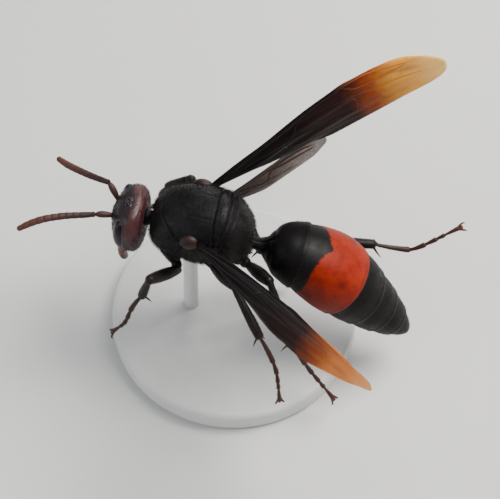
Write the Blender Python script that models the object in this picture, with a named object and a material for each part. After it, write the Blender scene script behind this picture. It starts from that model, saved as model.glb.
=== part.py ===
# Greater banded hornet, a life-size still model in flight on a plain display stand.
# Sizes and places are in millimetres. Each mesh is scaled to metres at the end.
# The hornet faces -X, its left side is -Y and up is +Z. The origin is the centre
# of the underside of the stand's base.

from math import cos, pi, radians, sin, tau

import bmesh
import bpy
import numpy as np
from mathutils import Matrix, Vector
from mathutils.geometry import delaunay_2d_cdt

# Driving dimensions
METRES_PER_MM = 0.001
GAP = 0.3

BASE_RADIUS = 10.0
BASE_HEIGHT = 2.0
BASE_BEVEL = 0.4
ROD_RADIUS = 0.6
ROD_X = -1.1

THORAX_CENTRE = Vector((-2.5, 0.0, 15.6))
HEAD_CENTRE = Vector((-5.60, 0.0, -1.35))
HEAD_TILT = radians(2)
NECK_RADIUS = 0.75

WING_LENGTH = 21.0
HINDWING_LENGTH = 11.0
WING_THICKNESS = 0.5
WING_ROOT = Vector((0.15, 2.75, 1.10))
WING_CAMBER = 0.35

# Colours: (red, green, blue), roughness, metallic
BLACK_SHELL = ((0.012, 0.011, 0.013), 0.35, 0.0)
MAROON_SHELL = ((0.070, 0.015, 0.018), 0.38, 0.0)
EYE_FACETS = ((0.018, 0.008, 0.011), 0.22, 0.0)
RED_BROWN = ((0.085, 0.026, 0.018), 0.40, 0.0)
ORANGE_BAND = ((0.560, 0.095, 0.022), 0.42, 0.0)
DARK_WING = ((0.075, 0.035, 0.022), 0.30, 0.0)
SMOKY_WING = ((0.140, 0.085, 0.060), 0.30, 0.0)
PALE_STAND = ((0.700, 0.700, 0.680), 0.50, 0.0)


# Scene and materials

def clear_scene():
    for thing in list(bpy.data.objects):
        bpy.data.objects.remove(thing, do_unlink=True)


def finish_material(name, finish):
    colour, roughness, metallic = finish
    material = bpy.data.materials.new(name)
    material.use_nodes = True
    shader = material.node_tree.nodes["Principled BSDF"]
    shader.inputs["Base Color"].default_value = (*colour, 1.0)
    shader.inputs["Roughness"].default_value = roughness
    shader.inputs["Metallic"].default_value = metallic
    return material


def add_object(name, bm):
    """Turn a closed bmesh, in millimetres, into an object with its faces out."""
    bm.normal_update()
    bmesh.ops.recalc_face_normals(bm, faces=bm.faces)
    mesh = bpy.data.meshes.new(name)
    bm.to_mesh(mesh)
    bm.free()
    body = bpy.data.objects.new(name, mesh)
    bpy.context.scene.collection.objects.link(body)
    return body


# Mesh tools

def loft(name, rings):
    """Join rings of points into one closed tube with a flat face at each end."""
    bm = bmesh.new()
    loops = [[bm.verts.new(point) for point in ring] for ring in rings]
    count = len(rings[0])
    for near, far in zip(loops, loops[1:]):
        for i in range(count):
            j = (i + 1) % count
            bm.faces.new((near[i], near[j], far[j], far[i]))
    bm.faces.new(loops[0])
    bm.faces.new(reversed(loops[-1]))
    return add_object(name, bm)


def blend_keys(keys, steps):
    """Rows read from a smooth curve through the key rows, as a list of arrays."""
    rows = np.array(keys, dtype=float)
    rows = np.vstack((2 * rows[0] - rows[1], rows, 2 * rows[-1] - rows[-2]))
    result = []
    for i in range(1, len(rows) - 2):
        before, start, end, after = rows[i - 1:i + 3]
        for step in range(steps):
            t = step / steps
            result.append(start + 0.5 * t * (end - before)
                          + t * t * (before - 2.5 * start + 2 * end - 0.5 * after)
                          + t ** 3 * 0.5 * (3 * (start - end) + after - before))
    result.append(rows[-2])
    return result


def oval(centre, side, up, half_width, half_up, half_down, sides, power=2.0):
    """A ring of points: a rounded oval with its own height above and below."""
    ring = []
    for i in range(sides):
        angle = tau * (i + 0.5) / sides
        across = abs(cos(angle)) ** (2 / power) * (1 if cos(angle) > 0 else -1)
        over = abs(sin(angle)) ** (2 / power) * (1 if sin(angle) > 0 else -1)
        height = half_up if over > 0 else half_down
        ring.append(centre + side * (across * half_width) + up * (over * height))
    return ring


def take_result(body):
    """Make the modifiers of a body part of its mesh."""
    graph = bpy.context.evaluated_depsgraph_get()
    mesh = bpy.data.meshes.new_from_object(body.evaluated_get(graph))
    body.modifiers.clear()
    old = body.data
    body.data = mesh
    bpy.data.meshes.remove(old)


def keep_largest(body):
    """Keep only the largest closed surface of a body."""
    bm = bmesh.new()
    bm.from_mesh(body.data)
    left = set(bm.faces)
    groups = []
    while left:
        group = set()
        front = [left.pop()]
        while front:
            face = front.pop()
            group.add(face)
            for edge in face.edges:
                for other in edge.link_faces:
                    if other in left:
                        left.remove(other)
                        front.append(other)
        groups.append(group)
    groups.sort(key=lambda group: sum(face.calc_area() for face in group))
    for group in groups[:-1]:
        bmesh.ops.delete(bm, geom=list(group), context="FACES")
    loose = [vert for vert in bm.verts if not vert.link_faces]
    bmesh.ops.delete(bm, geom=loose, context="VERTS")
    bm.to_mesh(body.data)
    bm.free()


def swollen_copy(body, distance):
    """A copy of a body with its surface moved out by a distance."""
    copy = body.copy()
    copy.data = body.data.copy()
    bpy.context.scene.collection.objects.link(copy)
    bm = bmesh.new()
    bm.from_mesh(copy.data)
    bmesh.ops.triangulate(bm, faces=bm.faces)
    bm.normal_update()
    moves = []
    for vert in bm.verts:
        moves.append(vert.normal * (distance * min(vert.calc_shell_factor(), 1.6)))
    for vert, move in zip(bm.verts, moves):
        vert.co += move
    bm.to_mesh(copy.data)
    bm.free()
    return copy


def join(body, others):
    """Fuse other closed bodies into one body."""
    group = bpy.data.collections.new("joining")
    bpy.context.scene.collection.children.link(group)
    for other in others:
        group.objects.link(other)
    union = body.modifiers.new("union", "BOOLEAN")
    union.operation = "UNION"
    union.solver = "EXACT"
    union.operand_type = "COLLECTION"
    union.collection = group
    take_result(body)
    for other in others:
        bpy.data.objects.remove(other, do_unlink=True)
    bpy.data.collections.remove(group)
    keep_largest(body)


def cut(body, tool, distance=GAP):
    """Trim a body clear of a tool body, by a distance all round the tool."""
    cutter = swollen_copy(tool, distance)
    trim = body.modifiers.new("trim", "BOOLEAN")
    trim.operation = "DIFFERENCE"
    trim.solver = "EXACT"
    trim.object = cutter
    take_result(body)
    bpy.data.objects.remove(cutter, do_unlink=True)
    keep_largest(body)


def slice_off(body, point, normal):
    """Cut a body with a plane and drop the side that the normal points to."""
    bm = bmesh.new()
    bm.from_mesh(body.data)
    everything = bm.verts[:] + bm.edges[:] + bm.faces[:]
    cut_geometry = bmesh.ops.bisect_plane(bm, geom=everything, dist=1e-6, plane_co=point,
                                          plane_no=normal, clear_outer=True)
    edges = [item for item in cut_geometry["geom_cut"] if isinstance(item, bmesh.types.BMEdge)]
    bmesh.ops.contextual_create(bm, geom=edges)
    bmesh.ops.recalc_face_normals(bm, faces=bm.faces)
    bm.to_mesh(body.data)
    bm.free()


def copy_body(body, name):
    copy = body.copy()
    copy.data = body.data.copy()
    copy.name = name
    bpy.context.scene.collection.objects.link(copy)
    return copy


def limb(name, path, radii, sides, start_plane=None, end_plane=None, flatness=1.0):
    """A tube along a path. A plane given for an end is the slope of its end face."""
    points = [Vector(point) for point in path]
    tangents = []
    for i in range(len(points)):
        before = points[max(i - 1, 0)]
        after = points[min(i + 1, len(points) - 1)]
        tangents.append((after - before).normalized())
    side = tangents[0].orthogonal().normalized()
    rings = []
    for i, (point, tangent, radius) in enumerate(zip(points, tangents, radii)):
        side = (side - tangent * side.dot(tangent)).normalized()
        over = tangent.cross(side)
        ring = []
        for k in range(sides):
            angle = tau * k / sides
            ring.append(point + side * (radius * cos(angle))
                        + over * (radius * flatness * sin(angle)))
        plane = start_plane if i == 0 else end_plane if i == len(points) - 1 else None
        if plane is not None:
            ring = [corner - tangent * ((corner - point).dot(plane) / tangent.dot(plane))
                    for corner in ring]
        rings.append(ring)
    return loft(name, rings)


# Thorax: (x, middle height, half width, height above, height below)
THORAX_KEYS = (
    (-4.15, -0.60, 0.85, 0.65, 0.65),
    (-4.00, -0.55, 1.60, 1.30, 1.25),
    (-3.45, -0.40, 2.30, 1.90, 2.00),
    (-2.60, -0.25, 2.70, 2.35, 2.60),
    (-1.20, -0.15, 2.95, 2.65, 3.00),
    (0.30, -0.15, 3.05, 2.75, 3.10),
    (1.60, -0.20, 2.92, 2.70, 2.95),
    (2.60, -0.35, 2.60, 2.50, 2.55),
    (3.30, -0.65, 2.15, 2.00, 1.95),
    (3.82, -1.10, 1.55, 1.35, 1.25),
    (4.10, -1.55, 0.85, 0.65, 0.65),
)
PRONOTUM_PLANE = (Vector((-2.35, 0.0, 0.0)), Vector((1.0, 0.0, 0.12)))
METATHORAX_PLANE = (Vector((2.15, 0.0, 0.0)), Vector((1.0, 0.0, -0.22)))


SCUTELLUM = (1.75, 0.55, 1.25, 0.22)
PROPODEUM_GROOVE = (3.3, 0.9, 0.45, 0.16)


def swelling(shape, along, across):
    """Height of a soft bump: its place along the body, half length, half width and height."""
    place, half_length, half_width, height = shape
    reach = ((along - place) / half_length) ** 2 + (across / half_width) ** 2
    return height * np.exp(-reach)


def make_thorax():
    """The thorax as one form, parted with two thin cuts into its three rings."""
    rings = []
    for x, middle, wide, above, below in blend_keys(THORAX_KEYS, 2):
        centre = THORAX_CENTRE + Vector((x, 0.0, middle))
        ring = oval(centre, Vector((0, 1, 0)), Vector((0, 0, 1)), wide, above, below, 28, 2.2)
        for point in ring:
            if point.z > centre.z:
                point.z += swelling(SCUTELLUM, x, point.y)
                point.z -= swelling(PROPODEUM_GROOVE, x, point.y)
        rings.append(ring)
    whole = loft("mesothorax", rings)
    prothorax = copy_body(whole, "prothorax")
    metathorax = copy_body(whole, "metathorax")
    for plane, before, after in ((PRONOTUM_PLANE, prothorax, whole),
                                 (METATHORAX_PLANE, whole, metathorax)):
        point = THORAX_CENTRE + plane[0]
        normal = plane[1].normalized()
        slice_off(before, point - normal * (GAP / 2), normal)
        slice_off(after, point + normal * (GAP / 2), -normal)
    return prothorax, whole, metathorax


# Head, in its own frame: forward, left to right, up
HEAD_FORWARD = Vector((-cos(HEAD_TILT), 0.0, -sin(HEAD_TILT)))
HEAD_UP = Vector((-sin(HEAD_TILT), 0.0, cos(HEAD_TILT)))

# (height, half width, depth to the face, depth to the back)
HEAD_KEYS = (
    (2.40, 0.85, 0.40, 0.35),
    (2.25, 1.50, 0.85, 0.65),
    (1.75, 2.12, 1.30, 0.95),
    (0.95, 2.50, 1.62, 1.10),
    (0.00, 2.60, 1.70, 1.12),
    (-0.90, 2.45, 1.58, 1.00),
    (-1.70, 2.08, 1.42, 0.80),
    (-2.35, 1.58, 1.24, 0.45),
    (-2.80, 1.08, 0.98, 0.15),
)
CLYPEUS = (-1.45, 0.85, 1.15, 0.22)
EYE_CENTRE = (0.80, 1.76, 0.15)
EYE_SIZE = (0.62, 0.76, 1.68)
EYE_NOTCH_HEIGHT = 0.35
EYE_NOTCH_DEPTH = 0.22
SOCKET_GAP = 0.34
EYE_NOTCH_REACH = 0.5
MANDIBLE_PATH = ((0.50, 1.35, -1.8), (0.85, 1.50, -2.6), (0.80, 1.55, -3.3), (0.55, 1.30, -4.15))
MANDIBLE_RADII = (0.56, 0.54, 0.40, 0.18)


def head_point(forward, across, up):
    local = HEAD_FORWARD * forward + Vector((0.0, across, 0.0)) + HEAD_UP * up
    return THORAX_CENTRE + HEAD_CENTRE + local


def make_head():
    """The head capsule, with its face shield raised in front."""
    rings = []
    for height, wide, front, back in blend_keys(HEAD_KEYS, 2):
        ring = oval(head_point(0, 0, height), Vector((0, 1, 0)), HEAD_FORWARD,
                    wide, front, back, 28, 2.3)
        for point in ring[:14]:
            point += HEAD_FORWARD * swelling(CLYPEUS, height, point.y)
        rings.append(ring)
    return loft("head", rings)


def make_eye(name, side, margin=0.0):
    """A tall kidney-shaped eye, notched in front beside the antenna, or its socket."""
    bm = bmesh.new()
    bmesh.ops.create_uvsphere(bm, u_segments=18, v_segments=12, radius=1.0)
    for vert in bm.verts:
        across, forward, up = vert.co
        forward *= EYE_SIZE[0] + margin
        up *= EYE_SIZE[2] + margin
        if forward > 0:
            notch = np.exp(-((up - EYE_NOTCH_HEIGHT) / EYE_NOTCH_REACH) ** 2)
            forward -= EYE_NOTCH_DEPTH * notch * max(0.0, -across) * 2
        vert.co = head_point(EYE_CENTRE[0] + forward,
                             side * (EYE_CENTRE[1] + (EYE_SIZE[1] + margin) * across),
                             EYE_CENTRE[2] + up)
    return add_object(name, bm)


def make_mandible(name, side):
    path = [head_point(forward, side * across, up) for forward, across, up in MANDIBLE_PATH]
    return limb(name, path, MANDIBLE_RADII, 10, flatness=0.8)


def make_neck():
    start = THORAX_CENTRE + Vector((-5.0, 0.0, -0.85))
    end = THORAX_CENTRE + Vector((-3.5, 0.0, -0.65))
    return limb("neck", (start, end), (NECK_RADIUS, NECK_RADIUS), 16)


# Antennae: socket in the head's frame, then the elbow and the tip's course
SOCKET = (1.58, 0.58, 1.00)
ANTENNA_COURSES = {
    "l": ((-8.6, -1.1, 0.0), (-9.4, -1.3, -0.05), (-10.9, -1.95, 0.35),
          (-12.3, -2.6, 0.5), (-13.4, -3.1, 0.25), (-14.45, -3.6, -0.3)),
    "r": ((-8.05, 1.6, 0.75), (-8.7, 1.85, 0.5), (-9.9, 2.35, 0.05),
          (-11.0, 2.85, -0.3), (-11.9, 3.3, -0.6), (-12.9, 3.9, -0.85)),
}
SCAPE_RADII = (0.24, 0.27, 0.30, 0.28)
FLAGELLOMERES = 11
FLAGELLUM_RADIUS = 0.27


def joint_plane(before, joint, after):
    """The plane that halves the bend at a joint, so that two ends face each other."""
    return ((joint - before).normalized() + (after - joint).normalized()).normalized()


def make_antenna(side_name, side):
    course = [THORAX_CENTRE + Vector(point) for point in ANTENNA_COURSES[side_name]]
    socket = head_point(SOCKET[0] - 0.5, side * SOCKET[1], SOCKET[2] - 0.3)
    elbow = course[0]
    plane = joint_plane(socket, elbow, course[1])
    shift = plane * (GAP / 2)
    end = elbow - shift
    path = [socket.lerp(end, part) for part in (0.0, 0.4, 0.75, 1.0)]
    scape = limb("scape_" + side_name, path, SCAPE_RADII, 8, end_plane=plane)

    line = [Vector(row) for row in blend_keys([elbow + shift] + course[1:], 6)]
    lengths = [0.0]
    for near, far in zip(line, line[1:]):
        lengths.append(lengths[-1] + (far - near).length)
    path = []
    radii = []
    for i in range(FLAGELLOMERES):
        for part, swell in ((0.0, 0.88), (0.6, 1.04)):
            along = (i + part) / FLAGELLOMERES
            place = [np.interp(along * lengths[-1], lengths, [p[axis] for p in line])
                     for axis in range(3)]
            taper = 0.85 + 0.25 * sin(pi * min(along * 1.3, 1.0) * 0.6)
            path.append(place)
            radii.append(FLAGELLUM_RADIUS * swell * taper * (1.0 - 0.25 * max(0.0, along - 0.8) * 5))
    path.append(line[-1])
    radii.append(FLAGELLUM_RADIUS * 0.45)
    flagellum = limb("flagellum_" + side_name, path, radii, 8, start_plane=plane)
    return scape, flagellum


# Gaster: (x, middle height, half width, height above, height below) along its middle line
GASTER_KEYS = (
    (3.7, -1.70, 0.50, 0.45, 0.45),
    (4.9, -1.95, 0.58, 0.55, 0.50),
    (5.5, -2.05, 1.35, 1.35, 1.05),
    (6.2, -2.15, 2.15, 2.15, 1.75),
    (7.3, -2.35, 2.65, 2.60, 2.25),
    (8.6, -2.85, 2.95, 2.80, 2.50),
    (10.5, -4.15, 3.28, 2.95, 2.75),
    (12.2, -5.95, 2.95, 2.60, 2.45),
    (13.6, -7.55, 2.50, 2.15, 2.05),
    (14.9, -9.05, 1.95, 1.70, 1.60),
    (15.9, -10.20, 1.35, 1.20, 1.10),
    (16.6, -11.05, 0.72, 0.65, 0.60),
    (16.9, -11.45, 0.28, 0.25, 0.22),
)
# Share of the gaster's length at which each ring ends
GASTER_ENDS = (0.0, 0.245, 0.512, 0.665, 0.795, 0.900, 1.0)
RINGS_PER_SEGMENT = (7, 6, 4, 3, 3, 4)
FRONT_TUCK = 0.045
GASTER_GAP = 0.42


def make_gaster():
    """Six rings of the gaster, each a little narrower in front than behind."""
    rows = np.array(blend_keys(GASTER_KEYS, 8))
    steps = np.hypot(np.diff(rows[:, 0]), np.diff(rows[:, 1]))
    along = np.concatenate(([0.0], np.cumsum(steps)))
    total = along[-1]
    segments = []
    for number in range(6):
        start = GASTER_ENDS[number] * total + (GASTER_GAP / 2 if number > 0 else 0.0)
        end = GASTER_ENDS[number + 1] * total - (GASTER_GAP / 2 if number < 5 else 0.0)
        rings = []
        count = RINGS_PER_SEGMENT[number]
        for step in range(count + 1):
            part = step / count
            here = start + (end - start) * part
            x, middle, wide, above, below = [np.interp(here, along, column) for column in rows.T]
            ahead_x = np.interp(here + 0.05, along, rows[:, 0])
            ahead_z = np.interp(here + 0.05, along, rows[:, 1])
            back_x = np.interp(here - 0.05, along, rows[:, 0])
            back_z = np.interp(here - 0.05, along, rows[:, 1])
            tangent = Vector((ahead_x - back_x, 0.0, ahead_z - back_z)).normalized()
            up = Vector((-tangent.z, 0.0, tangent.x))
            tuck = 1.0 - (FRONT_TUCK * (1 - part) ** 2 if number > 0 else 0.0)
            centre = THORAX_CENTRE + Vector((x, 0.0, middle))
            rings.append(oval(centre, Vector((0, 1, 0)), up, wide * tuck,
                              above * tuck, below * tuck, 28, 2.1))
        segments.append(loft(f"gaster_{number + 1}", rings))
    return segments


# Wings: the outline of each in its own plane, along the wing and up towards its front edge
FOREWING_OUTLINE = (
    (-0.6, 0.30), (2.5, 0.75), (6.0, 1.00), (10.0, 1.40), (13.0, 1.55), (16.0, 1.40),
    (18.5, 0.90), (20.3, -0.45), (21.0, -1.60), (20.4, -3.00), (18.3, -3.75), (15.5, -4.25),
    (12.6, -4.55), (11.0, -4.45), (10.0, -4.20), (8.0, -3.45), (5.0, -2.30), (2.5, -1.30),
    (-0.6, -0.40),
)
FOREWING_VEINS = (
    ((-0.3, 0.05), (3.0, 0.42), (6.0, 0.62), (9.5, 1.00), (12.8, 1.30), (15.8, 1.10), (18.6, 0.25)),
    ((12.8, 1.30), (13.8, 0.45), (15.5, 0.20), (17.2, 0.10), (18.6, 0.25)),
    ((7.0, -0.80), (7.9, -0.05), (8.5, 0.45), (10.5, 0.30), (13.2, -0.20), (15.4, -0.80), (17.6, -1.15)),
    ((0.5, -0.10), (4.0, -0.50), (7.0, -0.80), (9.5, -1.45), (12.0, -2.10), (14.9, -2.90)),
    ((13.2, -0.20), (13.4, -1.30), (13.0, -2.35)),
    ((0.5, -0.30), (3.5, -1.25), (6.7, -1.85), (9.5, -2.85), (11.6, -3.90)),
)
HINDWING_OUTLINE = (
    (-0.8, 0.15), (3.0, 0.25), (6.0, 0.30), (8.2, 0.20), (10.2, -0.15), (11.0, -0.85),
    (10.7, -1.60), (9.6, -2.40), (7.8, -2.95), (5.6, -3.00), (3.4, -2.50), (1.5, -1.55),
    (-0.8, -0.60),
)
# The direction of each forewing, with the sideways share counted outwards
WING_ALONG = {"l": Vector((0.735, 0.618, 0.315)), "r": Vector((0.690, 0.680, 0.300))}
HINDWING_VEINS = (
    ((-0.5, -0.10), (3.0, -0.05), (6.0, -0.05), (9.2, -0.40)),
    ((0.0, -0.25), (2.5, -0.85), (4.5, -1.25), (8.0, -1.85)),
)
HINDWING_ROOT = {"l": Vector((1.90, 2.80, 0.50)), "r": Vector((1.54, 2.95, -0.10))}
# How far the hind wing slopes below the forewing, swings out of its plane and rolls over
HINDWING_SLOPE = {"l": radians(-18.4), "r": radians(-28.7)}
HINDWING_SWING = {"l": radians(1.0), "r": radians(-10.5)}
HINDWING_ROLL = {"l": radians(4.7), "r": radians(6.4)}
# The forewing's pitch near its root, and the twist that its tip adds to it
FOREWING_PITCH = {"l": radians(7), "r": 0.0}
FOREWING_TWIST = {"l": radians(-21), "r": radians(-14)}
# How far the forewing bows out of its plane halfway along, and how far its tip bends
FOREWING_BOW = {"l": 0.3, "r": -0.1}
FOREWING_BEND = {"l": 0.0, "r": 1.8}
VEIN_RIDGE = 0.18
VEIN_HALF_WIDTH = 0.22
MEMBRANE_GRID = 1.9


def wing_frames(side_name, side):
    """Root, along, up and outer-face directions of the fore and hind wing of one side."""
    along = WING_ALONG[side_name].normalized()
    up = (Vector((0, 0, 1)) - along * along.z).normalized()
    face = along.cross(up)
    slope, swing = HINDWING_SLOPE[side_name], HINDWING_SWING[side_name]
    hind_along = (along * cos(slope) + up * sin(slope)) * cos(swing) + face * sin(swing)
    hind_up = (up - hind_along * hind_along.dot(up)).normalized()
    hind_up = Matrix.Rotation(HINDWING_ROLL[side_name], 3, hind_along) @ hind_up
    frames = []
    for root, run, rise, out in ((WING_ROOT, along, up, face),
                                 (HINDWING_ROOT[side_name], hind_along, hind_up,
                                  hind_along.cross(hind_up))):
        frames.append([Vector((v.x, v.y * side, v.z)) for v in (root, run, rise, out)])
    return frames


def distance_to_line(point, line):
    best = 1e9
    for start, end in zip(line, line[1:]):
        leg = end - start
        part = max(0.0, min(1.0, (point - start).dot(leg) / leg.length_squared))
        best = min(best, (point - start - leg * part).length)
    return best


def shifted_line(line, offset):
    """The same line moved sideways in its plane."""
    shifted = []
    for i, point in enumerate(line):
        run = line[min(i + 1, len(line) - 1)] - line[max(i - 1, 0)]
        shifted.append(point + run.orthogonal().normalized() * offset)
    return shifted


def make_wing(name, outline, veins, frame, length, pitch=0.0, twist=0.0, bow=0.0, bend=0.0):
    """A thin plate with the same triangles on both faces, and its veins as ridges."""
    root, run, rise, out = frame
    border = [Vector(row) for row in blend_keys(outline, 2)]
    points = list(border)
    count = len(border)
    edges = [(i, (i + 1) % count) for i in range(count)]
    lines = [[Vector(row) for row in blend_keys(vein, 2)] for vein in veins]
    for line in lines:
        for offset in (0.0, VEIN_HALF_WIDTH, -VEIN_HALF_WIDTH):
            first = len(points)
            points.extend(shifted_line(line, offset))
            edges.extend((first + i, first + i + 1) for i in range(len(line) - 1))
    lowest = min(point.y for point in border)
    highest = max(point.y for point in border)
    for i in range(int(length / MEMBRANE_GRID) + 1):
        for j in range(int((highest - lowest) / MEMBRANE_GRID) + 2):
            spot = Vector((i * MEMBRANE_GRID, lowest + (j + 0.5 * (i % 2)) * MEMBRANE_GRID))
            clear = [distance_to_line(spot, line) for line in lines]
            clear.append(distance_to_line(spot, border + border[:1]))
            if min(clear) > MEMBRANE_GRID * 0.45:
                points.append(spot)
    flat, _, faces, _, _, _ = delaunay_2d_cdt(points, edges, [list(range(count))], 1, 1e-4)

    bm = bmesh.new()
    layers = ([], [])
    for point in flat:
        ridge = 0.0
        for line in lines:
            near = distance_to_line(point, line)
            ridge = max(ridge, VEIN_RIDGE * (1 - near / VEIN_HALF_WIDTH))
        belly = (point.y - lowest) / (highest - lowest)
        bulge = WING_CAMBER * 4 * belly * (1 - belly) * min(1.0, max(0.0, point.x) / 5)
        reach = max(0.0, point.x / length)
        angle = pitch * min(1.0, max(0.0, point.x) / 3) + twist * reach ** 2
        lift = rise * cos(angle) + out * sin(angle)
        face = out * cos(angle) - rise * sin(angle)
        bulge += bow * 4 * reach * (1 - reach) + bend * reach ** 3
        middle = THORAX_CENTRE + root + run * point.x + rise * highest
        middle += lift * (point.y - highest) + face * bulge
        for layer, sign in zip(layers, (1, -1)):
            layer.append(bm.verts.new(middle + face * sign * (WING_THICKNESS / 2 + ridge)))
    upper, lower = layers
    sides = {}
    for face in faces:
        bm.faces.new([upper[i] for i in face])
        bm.faces.new([lower[i] for i in reversed(face)])
        for i in range(3):
            near, far = face[i], face[(i + 1) % 3]
            if (far, near) in sides:
                del sides[(far, near)]
            else:
                sides[(near, far)] = True
    for near, far in sides:
        bm.faces.new((upper[far], upper[near], lower[near]))
        bm.faces.new((upper[far], lower[near], lower[far]))
    loose = [vert for vert in bm.verts if not vert.link_faces]
    bmesh.ops.delete(bm, geom=loose, context="VERTS")
    return add_object(name, bm)


def make_tegula(name, side):
    """The small shell-like plate that covers the root of the forewing."""
    bm = bmesh.new()
    bmesh.ops.create_uvsphere(bm, u_segments=14, v_segments=8, radius=1.0)
    centre = THORAX_CENTRE + Vector((-0.55, 2.72 * side, 1.20))
    for vert in bm.verts:
        x, y, z = vert.co
        vert.co = centre + Vector((0.80 * x, side * (0.50 * y - 0.12 * z), 0.58 * z))
    return add_object(name, bm)


# Legs: hip, end of the trochanter, knee, ankle, then the course of the foot
LEG_COURSES = {
    "front_l": ((-2.9, -1.0, -2.3), (-1.4, -2.2, -4.3), (-3.35, -5.0, -2.0), (-4.0, -5.0, -4.9),
                (-4.7, -5.5, -6.1), (-5.2, -6.1, -7.7), (-6.1, -6.5, -8.8)),
    "front_r": ((-2.9, 1.0, -2.3), (-1.5, 2.2, -4.3), (-2.1, 5.0, -2.0), (-4.1, 4.9, -4.0),
                (-4.6, 5.0, -5.3), (-4.8, 5.2, -7.2), (-5.5, 5.5, -8.6)),
    "mid_l": ((0.4, -1.0, -2.3), (1.0, -1.5, -4.0), (3.25, -3.7, -2.75), (6.05, -6.5, -5.4),
              (6.9, -7.15, -6.4), (7.7, -7.95, -7.9), (8.2, -9.0, -10.4)),
    "mid_r": ((0.4, 1.0, -2.3), (0.9, 2.0, -4.2), (2.7, 3.3, -3.4), (4.2, 2.7, -7.8),
              (4.8, 2.65, -9.2), (5.4, 2.7, -10.6), (6.4, 2.9, -12.1)),
    "hind_l": ((2.5, -1.0, -2.0), (3.9, -1.2, -3.3), (6.2, -3.5, -1.4), (8.5, -5.8, -7.0),
               (9.3, -5.9, -8.5), (10.1, -6.1, -10.0), (12.2, -7.0, -12.2)),
    "hind_r": ((2.5, 1.0, -2.0), (2.9, 1.3, -4.8), (7.4, 2.9, -5.2), (13.3, 4.4, -6.2),
               (15.0, 4.7, -6.75), (16.5, 5.0, -6.8), (19.8, 6.5, -4.8)),
}
# Radii of the coxa, femur and tibia from root to tip, and of the foot
LEG_RADII = {
    "front": ((0.70, 0.66, 0.42, 0.36), (0.36, 0.48, 0.50, 0.36), (0.30, 0.34, 0.38, 0.32), 0.26),
    "mid": ((0.72, 0.68, 0.44, 0.36), (0.36, 0.48, 0.52, 0.36), (0.30, 0.36, 0.40, 0.34), 0.26),
    "hind": ((0.74, 0.70, 0.46, 0.38), (0.38, 0.50, 0.54, 0.38), (0.32, 0.38, 0.44, 0.36), 0.27),
}
TARSOMERES = 5
BASITARSUS_SHARE = 0.40
TARSUS_TAPER = (0.0, BASITARSUS_SHARE, 0.58, 0.72, 0.82, 1.0)
SPUR_LENGTHS = {"front": (0.75,), "mid": (0.85, 0.70), "hind": (1.05, 0.80)}
SPUR_ROOT = 0.24
SPUR_SPLAY = radians(50)
SPUR_RADII = (0.11, 0.09, 0.03)
CLAW_RADII = (0.10, 0.09, 0.07, 0.03)


def make_spurs(leg_name, ankle, along):
    """The movable spines at the end of the tibia, splayed away from the foot."""
    below = (Vector((0, 0, -1)) + along * along.z).normalized()
    lengths = SPUR_LENGTHS[leg_name.split("_")[0]]
    spurs = []
    for number, length in enumerate(lengths):
        turn = radians(38) * (2 * number - len(lengths) + 1)
        out = below * cos(turn) + along.cross(below) * sin(turn)
        start = ankle - along * 0.45 + out * (SPUR_ROOT - 0.12)
        middle = ankle - along * 0.06 + out * (SPUR_ROOT + 0.10)
        tip = middle + (along * cos(SPUR_SPLAY) + out * sin(SPUR_SPLAY)) * length
        spurs.append(limb(f"spur_{number}", (start, middle, tip), SPUR_RADII, 5))
    return spurs


def make_claws(foot_tip, along):
    """A pair of hooked claws on the last joint of the foot."""
    side = along.cross(Vector((0, 0, 1))).normalized()
    below = along.cross(side)
    if below.z > 0:
        below = -below
    claws = []
    for sign in (-1, 1):
        path = [foot_tip - along * 0.30,
                foot_tip + along * 0.12 + side * (sign * 0.20),
                foot_tip + along * 0.38 + side * (sign * 0.34) + below * 0.08,
                foot_tip + along * 0.50 + side * (sign * 0.36) + below * 0.34]
        claws.append(limb("claw", path, CLAW_RADII, 5))
    return claws


def make_leg(leg_name, course):
    """Coxa with trochanter, femur, tibia and foot, end face to end face."""
    coxa_radii, femur_radii, tibia_radii, foot_radius = LEG_RADII[leg_name.split("_")[0]]
    points = [THORAX_CENTRE + Vector(point) for point in course]
    parts = []
    start_plane = None
    for number, (part_name, radii) in enumerate((("coxa", coxa_radii), ("femur", femur_radii),
                                                 ("tibia", tibia_radii))):
        start, end, after = points[number:number + 3]
        end_plane = joint_plane(start, end, after)
        if start_plane is not None:
            start = start + start_plane * (GAP / 2)
        end = end - end_plane * (GAP / 2)
        path = [start.lerp(end, share) for share in (0.0, 0.35, 0.72, 1.0)]
        parts.append(limb(f"{part_name}_{leg_name}", path, radii, 10, start_plane, end_plane))
        start_plane = end_plane
    join(parts[-1], make_spurs(leg_name, end, (end - start).normalized()))

    line = [Vector(row) for row in blend_keys([points[3] + start_plane * (GAP / 2)] + points[4:], 6)]
    lengths = [0.0]
    for near, far in zip(line, line[1:]):
        lengths.append(lengths[-1] + (far - near).length)
    path = []
    radii = []
    for number in range(TARSOMERES):
        start = TARSUS_TAPER[number]
        end = TARSUS_TAPER[number + 1]
        for share, swell in ((0.02, 0.85), (0.80, 1.12)):
            here = (start + (end - start) * share) * lengths[-1]
            path.append([np.interp(here, lengths, [p[axis] for p in line]) for axis in range(3)])
            radii.append(foot_radius * swell)
    path.append(line[-1])
    radii.append(foot_radius * 0.5)
    tarsus = limb("tarsus_" + leg_name, path, radii, 7, start_plane)
    join(tarsus, make_claws(line[-1], (line[-1] - line[-2]).normalized()))
    return parts + [tarsus]


# Stand

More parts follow.
